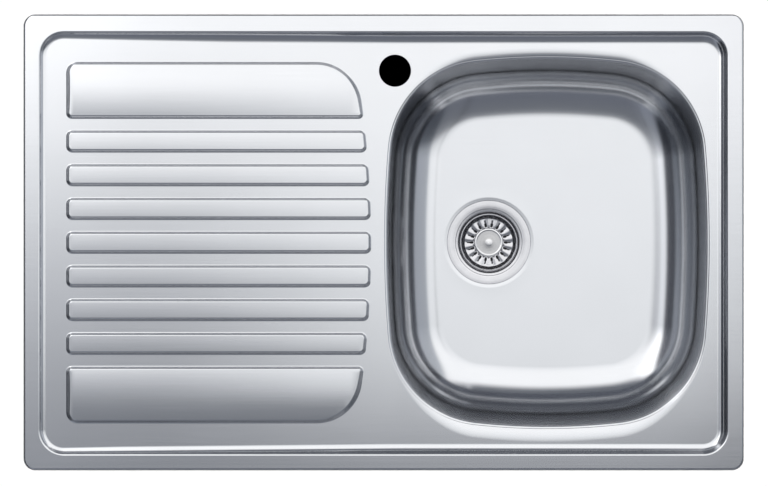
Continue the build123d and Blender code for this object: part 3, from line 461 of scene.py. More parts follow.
def add_bowl(body):
    """The bowl with its overflow holes. Returns its outer loop, its floor's edge and the holes' edges."""
    upper, upper_out = bowl_loop(rim_height)
    lower, lower_out = bowl_loop(floor_level)
    height = rim_height - floor_level
    outward = upper_out + lower_out
    outward /= np.linalg.norm(outward, axis=1)[:, None]
    draft = np.arctan(((upper - lower) * outward).sum(axis=1) / height)

    def wall_at(level):
        share = ((rim_height - level) / height)[:, None]
        return upper + (lower - upper) * share

    # the shoulder bends down on a large radius, and the brow then turns to the wall past a fine ledge
    end_share = shoulder_side_share + (1 - shoulder_side_share) * outward[:, 1] ** shoulder_fade
    dip = math.radians(shoulder_angle) * end_share
    reach = np.where(outward[:, 1] < 0, front_shoulder_reach, shoulder_reach) * end_share
    fall = reach * np.tan(dip / 2)
    brow = [(np.zeros(len(upper)), np.zeros(len(upper)), dip)]
    bend(brow, ledge_lip_radius, math.radians(ledge_lip_angle), ledge_steps)
    bend(brow, -ledge_foot_radius, math.radians(ledge_angle), ledge_steps)
    bend(brow, ledge_brow_radius, math.pi / 2 - draft, ledge_brow_steps)
    inward, down = brow[-1][:2]
    mouth = deck_z(wall_at(np.full(len(upper), deck_level))[:, 0] - inward * np.abs(outward[:, 0]))
    start = wall_at(mouth - fall - down) + outward * inward[:, None]
    leads = np.linspace(0, 1, shoulder_steps + 1)
    profile = [(-reach * (1 - lead), fall * lead**2, dip * lead) for lead in leads]
    profile += [(inset, fall + drop, tilt) for inset, drop, tilt in brow[1:]]

    def mouth_loops():
        for number, (inset, drop, tilt) in enumerate(profile):
            flat = start - outward * inset[:, None]
            if number == 0:
                yield raised(flat, deck_z(flat[:, 0])), deck_normals(flat[:, 0])
            else:
                yield leaning(flat, -outward, mouth - drop, tilt)

    foot = bowl_foot_radius
    floor_edge = lower - outward * foot
    # how steeply the floor climbs towards the wall
    lean = np.arcsin(-(dish_normals(floor_edge)[:, :2] * outward).sum(axis=1))
    touch = dish_z(floor_edge) + foot * (1 - np.sin(draft))
    centre = wall_at(touch) - outward * (foot * np.cos(draft))[:, None]

    def foot_loops():
        floor_here = dish_z(centre)
        for share in np.linspace(0, 1, bowl_foot_steps):
            turn = draft + (math.pi / 2 - lean - draft) * share
            flat = centre + outward * (foot * np.cos(turn))[:, None]
            if share == 1:
                yield raised(flat, dish_z(flat)), dish_normals(flat)
            else:
                z = floor_here + foot * (1 / np.cos(lean) - np.sin(turn))
                yield leaning(flat, -outward, z, math.pi / 2 - turn)

    first, last = body.loft(mouth_loops())
    loops = foot_loops()
    top = body.add(*next(loops))
    holes = wall_with_holes(body, last, top)
    return first, body.loft(loops, top)[1], holes


def wall_with_holes(body, above, below):
    """The bowl's straight wall, pierced by the row of overflow holes at its left."""
    count = len(above)
    middle = count // 2
    reach = bowl_steps * 2 // 3
    span = range(middle - reach, middle + reach)
    body.bridge(above, below, skip=set(span))
    patch = [above[n] for n in (*span, middle + reach)] + [below[n] for n in (*span, middle + reach)][::-1]

    def on_wall(yz):
        half_length = bowl_length / 2 - (deck_level - yz[:, 1]) * math.tan(math.radians(bowl_side_draft))
        bow = bowl_side_bow - np.sqrt(bowl_side_bow**2 - yz[:, 0] ** 2)
        points = np.column_stack((bowl_x - half_length + bow, yz))
        draft = math.radians(bowl_side_draft)
        lean = yz[:, 0] / bowl_side_bow
        flat = np.column_stack((np.cos(lean), -np.sin(lean))) * math.cos(draft)
        return points, np.column_stack((flat, np.full(len(yz), math.sin(draft))))

    holes = []
    level = deck_level - overflow_hole_drop
    for hole in range(overflow_hole_count):
        y = (hole - (overflow_hole_count - 1) / 2) * overflow_hole_pitch
        loop, _ = circle_loop(y, level, overflow_hole_radius, circle_steps // 2)
        holes.append(body.add(*on_wall(loop)))
    edge = np.array([body.points[n] for n in patch])
    low_z, high_z = edge[:, 2].min(), edge[:, 2].max()
    far = np.abs(edge[:, 1]).max()
    row = (overflow_hole_count + 1) / 2 * overflow_hole_pitch
    grid = [
        (y, z)
        for y in np.arange(-far + wall_margin_low, far - wall_margin_high, wall_cell_y)
        for z in np.linspace(low_z + wall_margin_low, high_z - wall_margin_high, wall_rows)
        if abs(z - level) > 2 * overflow_hole_radius or abs(y) > row
    ]
    inside = body.add(*on_wall(np.array(grid)))
    body.fill([patch, *holes], inside, plane=(1, 2))
    return holes


def add_recess(body):
    """The waste's recess. Returns its outer loop and the edge of the waste hole."""
    cone, wall = math.radians(recess_cone_angle), math.radians(recess_wall_angle)
    start = recess_radius + recess_brow_radius * math.tan(cone / 2)
    top = dish_z(np.array([(drain_x + start, 0.0)]))[0]
    profile = [(0.0, 0.0, 0.0)]
    bend(profile, recess_brow_radius, cone, brow_steps)
    reach = recess_cone_reach - profile[-1][0] + recess_brow_radius * math.tan(cone / 2)
    profile.append((profile[-1][0] + reach, profile[-1][1] + reach * math.tan(cone), cone))
    bend(profile, recess_edge_radius, wall, brow_steps)
    left = top - recess_level - profile[-1][1] - recess_foot_radius * (1 - math.cos(wall))
    profile.append((profile[-1][0] + left / math.tan(wall), profile[-1][1] + left, wall))
    bend(profile, -recess_foot_radius, 0.0, brow_steps)

    def loops():
        for inset, drop, tilt in profile:
            flat, outward = circle_loop(drain_x, 0, start - inset)
            yield leaning(flat, -outward, top - drop, tilt)
        yield leaning(*circle_loop(drain_x, 0, waste_hole_radius), recess_level, 0)

    return body.loft(loops())


def deburred_hole(body, x, y, radius):
    """A punched hole in the deck, with its softened edge. Returns the softening's outer loop and the edge."""

    def loops():
        for turn in np.linspace(0, math.radians(deburr_angle), deburr_steps):
            flat, outward = circle_loop(x, y, radius + deburr * (1 - math.sin(turn)))
            z = deck_z(flat[:, 0]) - deburr * (1 - math.cos(turn))
            yield sloped(*leaning(flat, -outward, z, turn))

    return body.loft(loops())


def pressing_sheet():
    """The whole upper face, its outer end and the edges of its holes."""
    body = Sheet()
    lip, step_foot = rim_and_step(body)
    holes = [add_ridge(body, *ridge) for ridge in ridge_list()]
    mouth, floor_edge, overflow = add_bowl(body)
    tap_outer, tap_edge = deburred_hole(body, tap_hole_x, tap_hole_y, tap_hole_radius)
    xs = np.linspace(slope_end_x - half_bend, slope_end_x + half_bend, bend_steps)
    ys = np.arange(-bend_reach_y, bend_reach_y + 1, bend_cell_y)
    grid = np.array([(x, y) for x in xs for y in ys if away_from_tap(x, y)])
    inside = body.add(raised(grid, deck_z(grid[:, 0])), deck_normals(grid[:, 0]))
    body.fill([step_foot, *holes, mouth, tap_outer], inside)
    recess, waste_edge = add_recess(body)
    reaches = np.arange(recess_radius + floor_margin, floor_reach, floor_cell)
    grid = np.vstack([circle_loop(drain_x, 0, reach, floor_rays)[0] for reach in reaches])
    inside = body.add(raised(grid, dish_z(grid)), dish_normals(grid))
    body.fill([floor_edge, recess], inside)
    return body, lip, [tap_edge, waste_edge, *overflow]


def away_from_tap(x, y):
    """Whether a place on the deck is clear of the tap hole's edge."""
    return math.hypot(x - tap_hole_x, y - tap_hole_y) > tap_hole_radius + tap_margin


def linked(name, data):
    """A new object in the scene."""
    piece = bpy.data.objects.new(name, data)
    bpy.context.scene.collection.objects.link(piece)
    return piece


def mesh_object(name, points, faces, normals=None, body="sink"):
    """A smooth mesh that rides on a body. Its points are in millimetres."""
    mesh = bpy.data.meshes.new(name)
    mesh.from_pydata((np.asarray(points) * MM).tolist(), [], faces)
    mesh.shade_smooth()
    if normals is not None:
        mesh.normals_split_custom_set_from_vertices([tuple(n) for n in normals])
    piece = linked(name, mesh)
    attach(piece, body)
    return piece


def make_pressing():
    """The pressed sheet: its upper face, the face under it, and the cut edges."""
    body, outer_end, inner_ends = pressing_sheet()
    used = sorted({corner for face in body.faces for corner in face})
    fresh = {old: new for new, old in enumerate(used)}
    upper, normals, count = np.array(body.points)[used], np.array(body.normals)[used], len(used)
    faces = [tuple(fresh[c] for c in face) for face in body.faces]
    faces += [tuple(fresh[c] + count for c in face[::-1]) for face in body.faces]
    points, all_normals = [upper, upper - normals * sheet], [normals, -normals]
    first = 2 * count
    for loop in (outer_end, *inner_ends):
        ends, size = [fresh[c] for c in loop], len(loop)
        high, low = upper[ends], upper[ends] - normals[ends] * sheet
        if loop is outer_end:
            facing = np.tile((0.0, 0.0, -1.0), (size, 1))
        else:
            facing = np.cross(np.roll(high, -1, axis=0) - np.roll(high, 1, axis=0), high - low)
            facing /= np.linalg.norm(facing, axis=1)[:, None]
        points += [high, low]
        all_normals += [facing, facing]
        for here in range(size):
            after = (here + 1) % size
            quad = (first + here, first + after, first + size + after, first + size + here)
            faces.append(quad[::-1] if loop is outer_end else quad)
        first += 2 * size
    piece = mesh_object("pressed_sheet", np.vstack(points), faces, np.vstack(all_normals))
    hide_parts("sink_pressing")
    return piece


pressing = make_pressing()

# ---- the turned and pressed pieces of the waste
drain = np.array((drain_x, 0.0))
gasket_height = 2.2
flange_top = recess_level + gasket_height
flange_radius, flange_sheet, flange_edge_radius = 47.0, 1.0, 0.6
flange_fall, ledge_fall = 0.65, 0.68  # the flange leans in, and a ledge inside it holds the basket's rim
throat_radius, throat_drop = 38.0, 3.5
neck_radius, neck_depth = 33.6, 16.2
shelf_radius, spider_arms, spider_arm_width = 24.0, 4, 5.0
spider_hub_radius, spider_bore, spider_hub_turns = 8.0, 4.1, 48
shelf_top = flange_top - throat_drop - neck_depth
basket_top = floor_level - 4.5
basket_radius, basket_rim_width, basket_lip, basket_sheet = 32.0, 1.0, 0.8, 0.7
basket_foot_radius, basket_foot = 28.4, basket_top - 8.1
basket_floor_radius, basket_floor, basket_bore = 17.0, basket_top - 8.6, 4.1
petals, petal_rise, petal_sink, petal_columns, basket_cell = 18, 0.5, 0.35, 10, 0.9
petal_fade, petal_fade_out, petal_lead, petal_tail = 3.0, 3.4, 1.0, 1.8
slot_from, slot_taper, slot_to = 17.3, 20.6, 24.4
knob_radius, knob_top, knob_thickness, knob_edge_radius = 16.2, basket_top + 0.8, 3.2, 1.3
knob_ring_width, knob_dish, knob_dish_lead, knob_dish_radius = 2.2, 0.35, 0.9, 0.7
knob_boss_radius, knob_bore, knob_grip = 6.0, 4.1, 5.0
pip_radius, pip_height, pip_steps = 4.6, 0.35, 9
same_point_m, on_axis = 1e-7, 1e-6


def rounded_corners(corners, steps=5):
    """A profile with its corners rounded. Each corner is radius, height and its rounding."""
    profile = []
    for here, (radius, z, rounding) in enumerate(corners):
        at = np.array((radius, z), float)
        if rounding == 0:
            profile.append(tuple(at))
            continue
        before = np.array(corners[here - 1][:2], float) - at
        after = np.array(corners[(here + 1) % len(corners)][:2], float) - at
        before, after = before / np.hypot(*before), after / np.hypot(*after)
        half = math.acos(float(np.clip(before @ after, -1, 1))) / 2
        reach = rounding / math.tan(half)
        middle = (before + after) / np.hypot(*(before + after)) * rounding / math.sin(half)
        start, stop = before * reach - middle, after * reach - middle
        swing = math.pi - 2 * half
        for share in np.linspace(0, 1, steps):
            a, b = math.sin((1 - share) * swing) / math.sin(swing), math.sin(share * swing) / math.sin(swing)
            profile.append(tuple(at + middle + a * start + b * stop))
    return profile


def turned(name, corners, node, body, turns=96):
    """A piece turned about the waste's axis from a closed profile that runs clockwise, top first."""
    profile = rounded_corners(corners)
    points, faces = [], []
    for step in range(turns):
        angle = 2 * math.pi * step / turns
        points += [(drain_x + radius * math.cos(angle), radius * math.sin(angle), z) for radius, z in profile]
    count = len(profile)
    for step in range(turns):
        first, after = step * count, (step + 1) % turns * count
        for here in range(count):
            following = (here + 1) % count
            if max(profile[here][0], profile[following][0]) > on_axis:
                faces.append((first + here, after + here, after + following, first + following))
    piece = mesh_object(name, points, faces, body=body)
    sharpen(piece)
    if node:
        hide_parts(node)
    return piece


def sharpen(piece, angle=35, upwards=False):
    """Merges doubled points and keeps sharp edges crisp. An open sheet can be made to face upwards."""
    shape = bmesh.new()
    shape.from_mesh(piece.data)
    bmesh.ops.remove_doubles(shape, verts=shape.verts, dist=same_point_m)
    bmesh.ops.delete(shape, geom=[v for v in shape.verts if not v.link_faces], context="VERTS")
    bmesh.ops.recalc_face_normals(shape, faces=shape.faces)
    if upwards and sum(face.normal.z for face in shape.faces) < 0:
        bmesh.ops.reverse_faces(shape, faces=shape.faces)
    for edge in shape.edges:
        if len(edge.link_faces) == 2 and edge.calc_face_angle() > math.radians(angle):
            edge.smooth = False
    shape.to_mesh(piece.data)
    shape.free()


def make_flange():
    """The strainer waste's flange, throat and neck, with the shelf's spider."""
    inner = flange_top - flange_fall
    foot = flange_top - throat_drop
    profile = [  # radius, height, rounding
        (flange_radius, flange_top - flange_sheet, 0),
        (flange_radius, flange_top, flange_edge_radius),
        (throat_radius - 0.6, inner, 0.3),
        (throat_radius - 1.1, inner - 0.55, 0.3),
        (neck_radius + 0.9, inner - ledge_fall, 0.7),
        (neck_radius, foot, 0.5),
        (neck_radius, shelf_top, 0.4),
        (shelf_radius, shelf_top, 0),
        (shelf_radius, shelf_top - flange_sheet, 0),
        (neck_radius + flange_sheet, shelf_top - flange_sheet, 0.4),
        (neck_radius + flange_sheet, foot - 0.6, 1.0),
        (throat_radius, flange_top - flange_sheet, 0.5),
    ]
    collar = turned("waste_collar", profile, "waste_flange", "sink")
    near, far = spider_hub_radius - 1, shelf_radius + 0.5
    points, faces = [], []
    for arm in range(spider_arms):
        angle = math.pi / 4 + arm * 2 * math.pi / spider_arms
        along = np.array((math.cos(angle), math.sin(angle)))
        side = np.array((-along[1], along[0])) * spider_arm_width / 2
        ends = ((near, 1), (far, 1), (far, -1), (near, -1))
        corners = [drain + along * reach + side * sign for reach, sign in ends]
        first = len(points)
        points += [(*corner, z) for z in (shelf_top - flange_sheet, shelf_top) for corner in corners]
        quads = [(7, 6, 5, 4), (0, 1, 2, 3)] + [(4 + i, 4 + (i + 1) % 4, (i + 1) % 4, i) for i in range(4)]
        faces += [tuple(first + corner for corner in quad) for quad in quads]
    spider = mesh_object("spider_arms", points, faces, body="sink")
    sharpen(spider)
    ring = [
        (spider_bore, shelf_top, 0),
        (spider_hub_radius, shelf_top, 0.2),
        (spider_hub_radius, shelf_top - flange_sheet, 0.2),
        (spider_bore, shelf_top - flange_sheet, 0),
    ]
    hub = turned("spider_hub", ring, None, "sink", spider_hub_turns)
    return [collar, spider, hub]


def make_basket():
    """The strainer's basket: a dished pressing of crowned petals with a slot between each two."""
    wall = [  # radius, height, rounding
        (basket_radius, basket_top - basket_lip, 0),
        (basket_radius, basket_top, 0.35),
        (basket_radius - basket_rim_width, basket_top, 0.35),
        (basket_foot_radius + 0.7, basket_foot + 1.6, 0.8),
        (basket_foot_radius - 1.6, basket_foot - 0.2, 1.2),
        (basket_floor_radius, basket_floor, 1.5),
        (basket_bore, basket_floor, 0),
    ]
    profile = rounded_corners(wall, 4)
    dense = [profile[0]]
    for radius, z in profile[1:]:
        last = dense[-1]
        parts = max(1, int(math.hypot(radius - last[0], z - last[1]) / basket_cell))
        for part in range(1, parts + 1):
            share = part / parts
            dense.append((last[0] + (radius - last[0]) * share, last[1] + (z - last[1]) * share))
    columns = petals * petal_columns
    points, faces = [], []
    for step in range(columns):
        angle = 2 * math.pi * (step + 0.5) / columns
        swell = math.cos(petals * angle)
        for radius, z in dense:
            inward = np.clip((radius - basket_floor_radius + petal_lead) / petal_fade, 0, 1)
            outward = np.clip((basket_foot_radius + petal_tail - radius) / petal_fade_out, 0, 1)
            lift = petal_rise * inward * outward * (0.5 - 0.5 * swell - petal_sink)
            points.append((drain_x + radius * math.cos(angle), radius * math.sin(angle), z + lift))
    rows = len(dense)
    for step in range(columns):
        after = (step + 1) % columns
        # the slots lie where two petals meet
        from_slot = min((step + 1) % petal_columns, petal_columns - (step + 1) % petal_columns)
        for row in range(rows - 1):
            middle = (dense[row][0] + dense[row + 1][0]) / 2
            half_slot = 1 if middle < slot_taper else 0
            if from_slot > half_slot or not slot_from < middle < slot_to:
                here, there = step * rows + row, after * rows + row
                faces.append((here, there, there + 1, here + 1))
    piece = mesh_object("petal_basket", points, faces, body="basket")
    sharpen(piece, 180, upwards=True)
    thick = piece.modifiers.new("sheet", "SOLIDIFY")
    thick.thickness, thick.offset = basket_sheet * MM, -1.0
    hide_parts("strainer_basket")
    return piece


def make_knob():
    """The strainer's knob: a dished top inside a rounded ring, with a domed pip."""
    crown = (pip_radius**2 + pip_height**2) / (2 * pip_height)
    floor_z = knob_top - knob_dish
    pip = []
    for share in np.linspace(0, 1, pip_steps):
        radius = pip_radius * (1 - share)
        pip.append((radius, floor_z + pip_height + math.sqrt(crown**2 - radius**2) - crown, 0))
    corners = [  # radius, height, rounding
        (knob_radius, knob_top, knob_edge_radius),
        (knob_radius - knob_ring_width, knob_top, knob_dish_radius),
        (knob_radius - knob_ring_width - knob_dish_lead, floor_z, knob_dish_radius),
        *pip,
        (0, basket_floor + knob_grip, 0),
        (knob_bore, basket_floor + knob_grip, 0),
        (knob_bore, basket_floor, 0),
        (knob_boss_radius, basket_floor, 0),
        (knob_boss_radius, knob_top - knob_thickness, 0.5),
        (knob_radius, knob_top - knob_thickness, knob_edge_radius),
    ]
    return turned("dished_knob", corners, "strainer_knob", "basket")


flange_pieces = make_flange()
basket_piece = make_basket()
knob_piece = make_knob()

# ==== materials


class Nodes:
    """A short way to make and join the nodes of an emptied tree."""

    def __init__(self, tree):
        self.tree = tree
        tree.nodes.clear()

    def make(self, kind, inputs=None, **settings):
        node = self.tree.nodes.new("ShaderNode" + kind)
        for key, value in settings.items():
            setattr(node, key, value)
        for key, value in (inputs or {}).items():
            if isinstance(value, bpy.types.NodeSocket):
                self.tree.links.new(value, node.inputs[key])
            else:
                node.inputs[key].default_value = value
        return node

    def end(self, kind, node):
        self.make("Output" + kind, {0: node.outputs[0]})

    def place(self):
        return self.make("TexCoord").outputs["Object"]

    def math(self, operation, *values):
        return self.make("Math", dict(enumerate(values)), operation=operation).outputs[0]

    def vector(self, operation, *values):
        node = self.make("VectorMath", dict(enumerate(values)), operation=operation)
        return node.outputs["Value" if operation == "LENGTH" else "Vector"]

    def mix(self, factor, first, second):
        return self.make("Mix", {0: factor, 6: first, 7: second}, data_type="RGBA").outputs[2]

    def smooth(self, value, limits):
        """A smooth rise from 0 at the first limit to 1 at the second."""
        inputs = {0: value, 1: limits[0], 2: limits[1]}
        return self.make("MapRange", inputs, interpolation_type="SMOOTHSTEP").outputs[0]

    def noise(self, place, scale, detail, roughness=0.5, dimensions="3D"):
        inputs = {"W" if dimensions == "1D" else "Vector": place}
        inputs.update({"Scale": scale, "Detail": detail, "Roughness": roughness})
        return self.make("TexNoise", inputs, noise_dimensions=dimensions).outputs["Fac"]

    def bump(self, height, distance, **under):
        inputs = {"Height": height, "Strength": 1.0, "Distance": distance, **under}
        return self.make("Bump", inputs).outputs[0]

    def ramp(self, factor, stops, interpolation="LINEAR"):
        node = self.make("ValToRGB", {"Fac": factor})
        node.color_ramp.interpolation = interpolation
        elements = node.color_ramp.elements
        while len(elements) < len(stops):
            elements.new(0.5)
        for element, (place, value) in zip(elements, stops):
            element.position = place
            element.color = (*value, 1) if isinstance(value, tuple) else (value, value, value, 1)
        return node.outputs["Color"]


def bare_material(name):
    """A material without nodes, and the maker of its nodes."""
    material = bpy.data.materials.new(name)
    material.use_nodes = True
    return material, Nodes(material.node_tree)


def surface(n, color, roughness, normal=None, metallic=0.0, tint=1.0):
    """The shader of a surface, joined to the material's output."""
    inputs = {"Base Color": color, "Roughness": roughness, "Metallic": metallic}
    inputs["Specular Tint"] = (tint, tint, tint, 1)
    if normal:
        inputs["Normal"] = normal
    n.end("Material", n.make("BsdfPrincipled", inputs))


def darker(color, share):
    """A colour less a share of itself."""
    return tuple(c * (1 - share) for c in color)


def shared(n, first, second, share):
    """A mix of two textures, with the share that the first one takes."""
    return n.math("MULTIPLY_ADD", first, share, n.math("MULTIPLY", second, 1 - share))


def worn(n, texture, roughness):
    """A roughness that a texture varies by a quarter either way."""
    return n.math("MULTIPLY_ADD", texture, roughness * 0.5, roughness * 0.75)


EDGE_TINT = 0.9  # how much a glancing view of the steel shows
DUST_COLOR, ZINC_CONTRAST = (0.42, 0.41, 0.39, 1), 0.26
# how many times a texture repeats in a metre
SHEET_CLOUD, WASTE_CLOUD, WASTE_RINGS, PLAIN_CLOUD, ZINC_CLOUD, SPECKS = 14.0, 90.0, 900.0, 30.0, 60.0, 420.0
ZINC_SCRATCHES = (60.0, 1400.0, 1400.0)


def steel(name, color, roughness, grain, grain_depth, blotch):
    """Stainless steel with a fine linear grain: grain is its stretch along X, Y and Z."""
    material, n = bare_material(name)
    fine = n.make("Mapping", {"Vector": n.place(), "Scale": grain}).outputs[0]
    streaks, cloud = n.noise(fine, 1.0, 4.0, 0.6), n.noise(n.place(), SHEET_CLOUD, 3.0)
    tint = n.ramp(shared(n, streaks, cloud, 0.6), ((0.3, darker(color, blotch)), (0.7, color)))
    surface(n, tint, worn(n, streaks, roughness), n.bump(streaks, grain_depth), 1.0, EDGE_TINT)
    return material


def spun(name, color, roughness, ring_depth, blotch, highlight_bands=((0.0, 1.0),)):
    """Stainless steel turned about the waste's axis, with fine rings. Bands brighten its colour by radius, as
    painted highlights.
    """
    material, n = bare_material(name)
    about = n.vector("SUBTRACT", n.place(), (drain_x * MM, 0, 0))
    reach = n.vector("LENGTH", n.vector("MULTIPLY", about, (1, 1, 0)))
    rings, cloud = n.noise(reach, WASTE_RINGS, 3.0, 0.6, "1D"), n.noise(n.place(), WASTE_CLOUD, 3.0)
    tint = n.ramp(shared(n, rings, cloud, 0.7), ((0.35, darker(color, blotch)), (0.65, color)))
    per_dm = 10.0  # the ramp spans 100 mm
    stops = [(radius * MM * per_dm, level) for radius, level in highlight_bands]
    # a brighter colour at some radii: painted highlights, on the knob's pip and outer ring
    painted_highlight = n.ramp(n.math("MULTIPLY", reach, per_dm), stops)
    color, rough = n.vector("MULTIPLY", tint, painted_highlight), worn(n, rings, roughness)
    surface(n, color, rough, n.bump(rings, ring_depth), 1.0, EDGE_TINT)
    return material


def plain(name, color, roughness, grain_scale, grain_depth, mottle, dust, cell_scale=0.0, cell_depth=0.0):
    """Plastic, rubber or foam with a moulded grain and a little dust. Foam also has open cells, with painted
    shade in their pits.
    """
    material, n = bare_material(name)
    place = n.place()
    grain = n.noise(place, grain_scale, 4.0)
    tone = n.ramp(n.noise(place, PLAIN_CLOUD, 3.0), ((0.35, darker(color, mottle)), (0.65, color)))
    bump = n.bump(grain, grain_depth)
    if cell_scale:
        cells = n.make("TexVoronoi", {"Vector": place, "Scale": cell_scale}).outputs["Distance"]
        # the cells are darker at their middles, where the bump is low: painted shade in the pits
        tone = n.vector("MULTIPLY", tone, n.ramp(cells, ((0.15, 0.35), (0.55, 1.0))))
        bump = n.bump(cells, cell_depth, Normal=bump)
    amount = n.ramp(n.noise(place, SPECKS, 2.0), ((0.60, 0.0), (0.74, dust)))
    tone = n.mix(amount, tone, DUST_COLOR)
    surface(n, tone, n.math("MULTIPLY_ADD", grain, 0.2, roughness - 0.1), bump)
    return material


def galvanised(name, color, roughness, spangle, scratch_depth):
    """Zinc-coated steel: flat crystals of slightly different grey, with fine scratches."""
    material, n = bare_material(name)
    place = n.place()
    crystals = n.make("TexVoronoi", {"Vector": place, "Scale": spangle}).outputs["Color"]
    each = n.make("SeparateColor", {0: crystals}).outputs[0]
    shade = shared(n, each, n.noise(place, ZINC_CLOUD, 4.0), 0.5)
    tint = n.ramp(shade, ((0.2, darker(color, ZINC_CONTRAST)), (0.8, color)))
    rough = n.math("MULTIPLY_ADD", shade, 0.16, roughness - 0.08)
    scratches = n.noise(n.vector("MULTIPLY", place, ZINC_SCRATCHES), 1.0, 3.0)
    surface(n, tint, rough, n.bump(scratches, scratch_depth), 1.0)
    return material


def assign(piece, material):
    """Gives a piece one material all over."""
    piece.data.materials.clear()
    piece.data.materials.append(material)


# the knob's pip and outer ring get a brighter colour than its dish: painted highlights
KNOB_HIGHLIGHT_BANDS = ((0.0, 1.0), (3.6, 1.0), (4.4, 0.62), (12.8, 0.64), (13.6, 1.0))  # in mm
# each finish: its function, colour and roughness, and then the sizes, in metres or per metre, of its textures
FINISHES = {
    "pressing_steel": (steel, (0.63, 0.64, 0.66), 0.17, (6, 900, 900), 4e-6, 0.05),
    "strainer_steel": (spun, (0.60, 0.60, 0.62), 0.14, 2.5e-5, 0.12),
    "knob_steel": (spun, (0.72, 0.72, 0.73), 0.16, 2.5e-5, 0.15, KNOB_HIGHLIGHT_BANDS),
    "zinc_steel": (galvanised, (0.60, 0.61, 0.64), 0.30, 700.0, 8e-6),
    "bracket_steel": (galvanised, (0.66, 0.67, 0.69), 0.36, 260.0, 8e-6),
    "seal_foam": (plain, (0.06, 0.06, 0.065), 0.85, 1400, 5e-5, 0.3, 0.25, 900.0, 1.5e-4),
    "damping_pad": (plain, (0.11, 0.11, 0.115), 0.75, 700, 6e-5, 0.25, 0.35, 320.0, 1e-4),
    "black_rubber": (plain, (0.03, 0.03, 0.032), 0.45, 700, 2e-5, 0.2, 0.15),
    "white_plastic": (plain, (0.82, 0.82, 0.80), 0.4, 600, 2e-5, 0.05, 0.05),
    "grey_plastic": (plain, (0.30, 0.31, 0.33), 0.4, 600, 2e-5, 0.12, 0.08),
    "stem_plastic": (plain, (0.16, 0.165, 0.17), 0.35, 600, 2e-5, 0.12, 0.05),
}
finishes = {name: make(name, *sizes) for name, (make, *sizes) in FINISHES.items()}
assign(pressing, finishes["pressing_steel"])
for piece in (*flange_pieces, basket_piece):
    assign(piece, finishes["strainer_steel"])
assign(knob_piece, finishes["knob_steel"])
for row in frame["record"]["subparts"]:
    if row["node"] in nodes and row["material_slot"] in finishes:
        assign(nodes[row["node"]], finishes[row["material_slot"]])

# ==== stage
lowest_m = cad_bounds[0][2]
floor_gap_m, floor_reach_m = 0.0005, 6.0
FLOOR_PALE = (0.92, 0.92, 0.92, 1)
FLOOR_SEEN_AGAIN = (0.02, 0.02, 0.02, 1)  # to rays that have already met a matt surface
FLOOR_MIRRORED = (0.25, 0.25, 0.26, 1)  # in the steel

# brightness across the tent from front (0) to rear (1) on its two halves, and from left (0) to right (1)
TENT_STRENGTH = 1.5
TENT_LEFT = (
    (0.00, (0.13, 0.14, 0.17)),
    (0.30, (0.15, 0.16, 0.18)),
    (0.40, (0.22, 0.23, 0.25)),
    (0.45, (0.34, 0.35, 0.37)),
    (0.50, (0.53, 0.54, 0.56)),
    (0.585, 1.04),
    (0.87, 1.0),
    (0.94, (0.12, 0.13, 0.15)),
)
TENT_RIGHT = (
    *TENT_LEFT[:3],
    (0.45, (0.74, 0.75, 0.76)),
    (0.50, (0.88, 0.89, 0.90)),
    (0.58, 1.0),
    *TENT_LEFT[-2:],
)
TENT_X = (
    (0.00, (0.10, 0.105, 0.12)),
    (0.16, (0.12, 0.125, 0.145)),
    (0.22, 1.5),
    (0.31, 1.5),
    (0.335, 1.0),
    (0.355, 1.13),
    (0.37, 1.13),
    (0.405, 0.99),
    (0.79, 1.0),
    (0.84, (0.42, 0.44, 0.47)),
    (1.00, (0.40, 0.42, 0.46)),
)
# a dark panel over the right end, and a grey foot all round
TENT_PANEL = (
    (0.42, (0.05, 0.05, 0.06)),
    (0.50, (0.32, 0.33, 0.35)),
    (0.58, (0.92, 0.92, 0.94)),
)
TENT_FOOT = (0.48, 0.49, 0.51, 1)
# where one gives way to the next, in metres along X, and along Z for the foot
TENT_LEFT_TO_RIGHT = (-0.30, 0.10)
TENT_PANEL_LEFT, TENT_PANEL_RIGHT = (0.44, 0.452), (0.50, 0.475)
TENT_TO_FOOT = (0.20, 0.08)
tent_radius_m, tent_rings, tent_steps, tent_zenith = 1.5, 24, 64, 92

card_gap, card_width, card_z_m, CARD_COLOR = 4, 90, -0.02, (0.03, 0.03, 0.035, 1)
tap_flag_reach_m, tap_flag_rise_m = 0.06, 0.003
WORLD_FILL = 0.01

# each lamp: name, watts, place and size in metres
SOFT_LAMPS = (
    ("key_lamp", 45.0, (-1.2, -1.0, 1.6), 1.2),
    ("fill_lamp", 30.0, (1.5, 0.8, 1.2), 1.5),
    ("under_lamp", 16.0, (-1.0, -1.4, -0.1), 1.0),
    ("rear_lamp", 16.0, (0.9, 1.5, -0.05), 1.0),
)
SUN_STRENGTH, SUN_ANGLE, SUN_PLACE = math.pi / FLOOR_PALE[0] * 1.02, 5, (0, 0, 3)


def stage_mesh(name, points, faces, material, *unseen_by):
    """A piece of the stage, with the kinds of rays that don't see it."""
    mesh = bpy.data.meshes.new(name)
    mesh.from_pydata(points, [], faces)
    mesh.materials.append(material)
    piece = linked(name, mesh)
    piece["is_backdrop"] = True
    for kind in unseen_by:
        setattr(piece, "visible_" + kind, False)
    return piece


def make_floor():
    """A plain pale floor under the sink. Light that it passes on to itself is left out."""
    material, n = bare_material("floor")
    path = n.make("LightPath")
    colors = (FLOOR_PALE, FLOOR_SEEN_AGAIN, FLOOR_MIRRORED)
    pale, dark, mirrored = (n.make("BsdfDiffuse", {"Color": color}).outputs[0] for color in colors)
    seen = n.make("MixShader", {0: path.outputs["Is Glossy Ray"], 1: pale, 2: mirrored}).outputs[0]
    again = n.math("GREATER_THAN", path.outputs["Diffuse Depth"], 0.5)
    n.end("Material", n.make("MixShader", {0: again, 1: seen, 2: dark}))
    points = [(x * floor_reach_m, y * floor_reach_m, lowest_m - floor_gap_m) for x, y in SQUARE]
    return stage_mesh("floor", points, [(0, 1, 2, 3)], material)


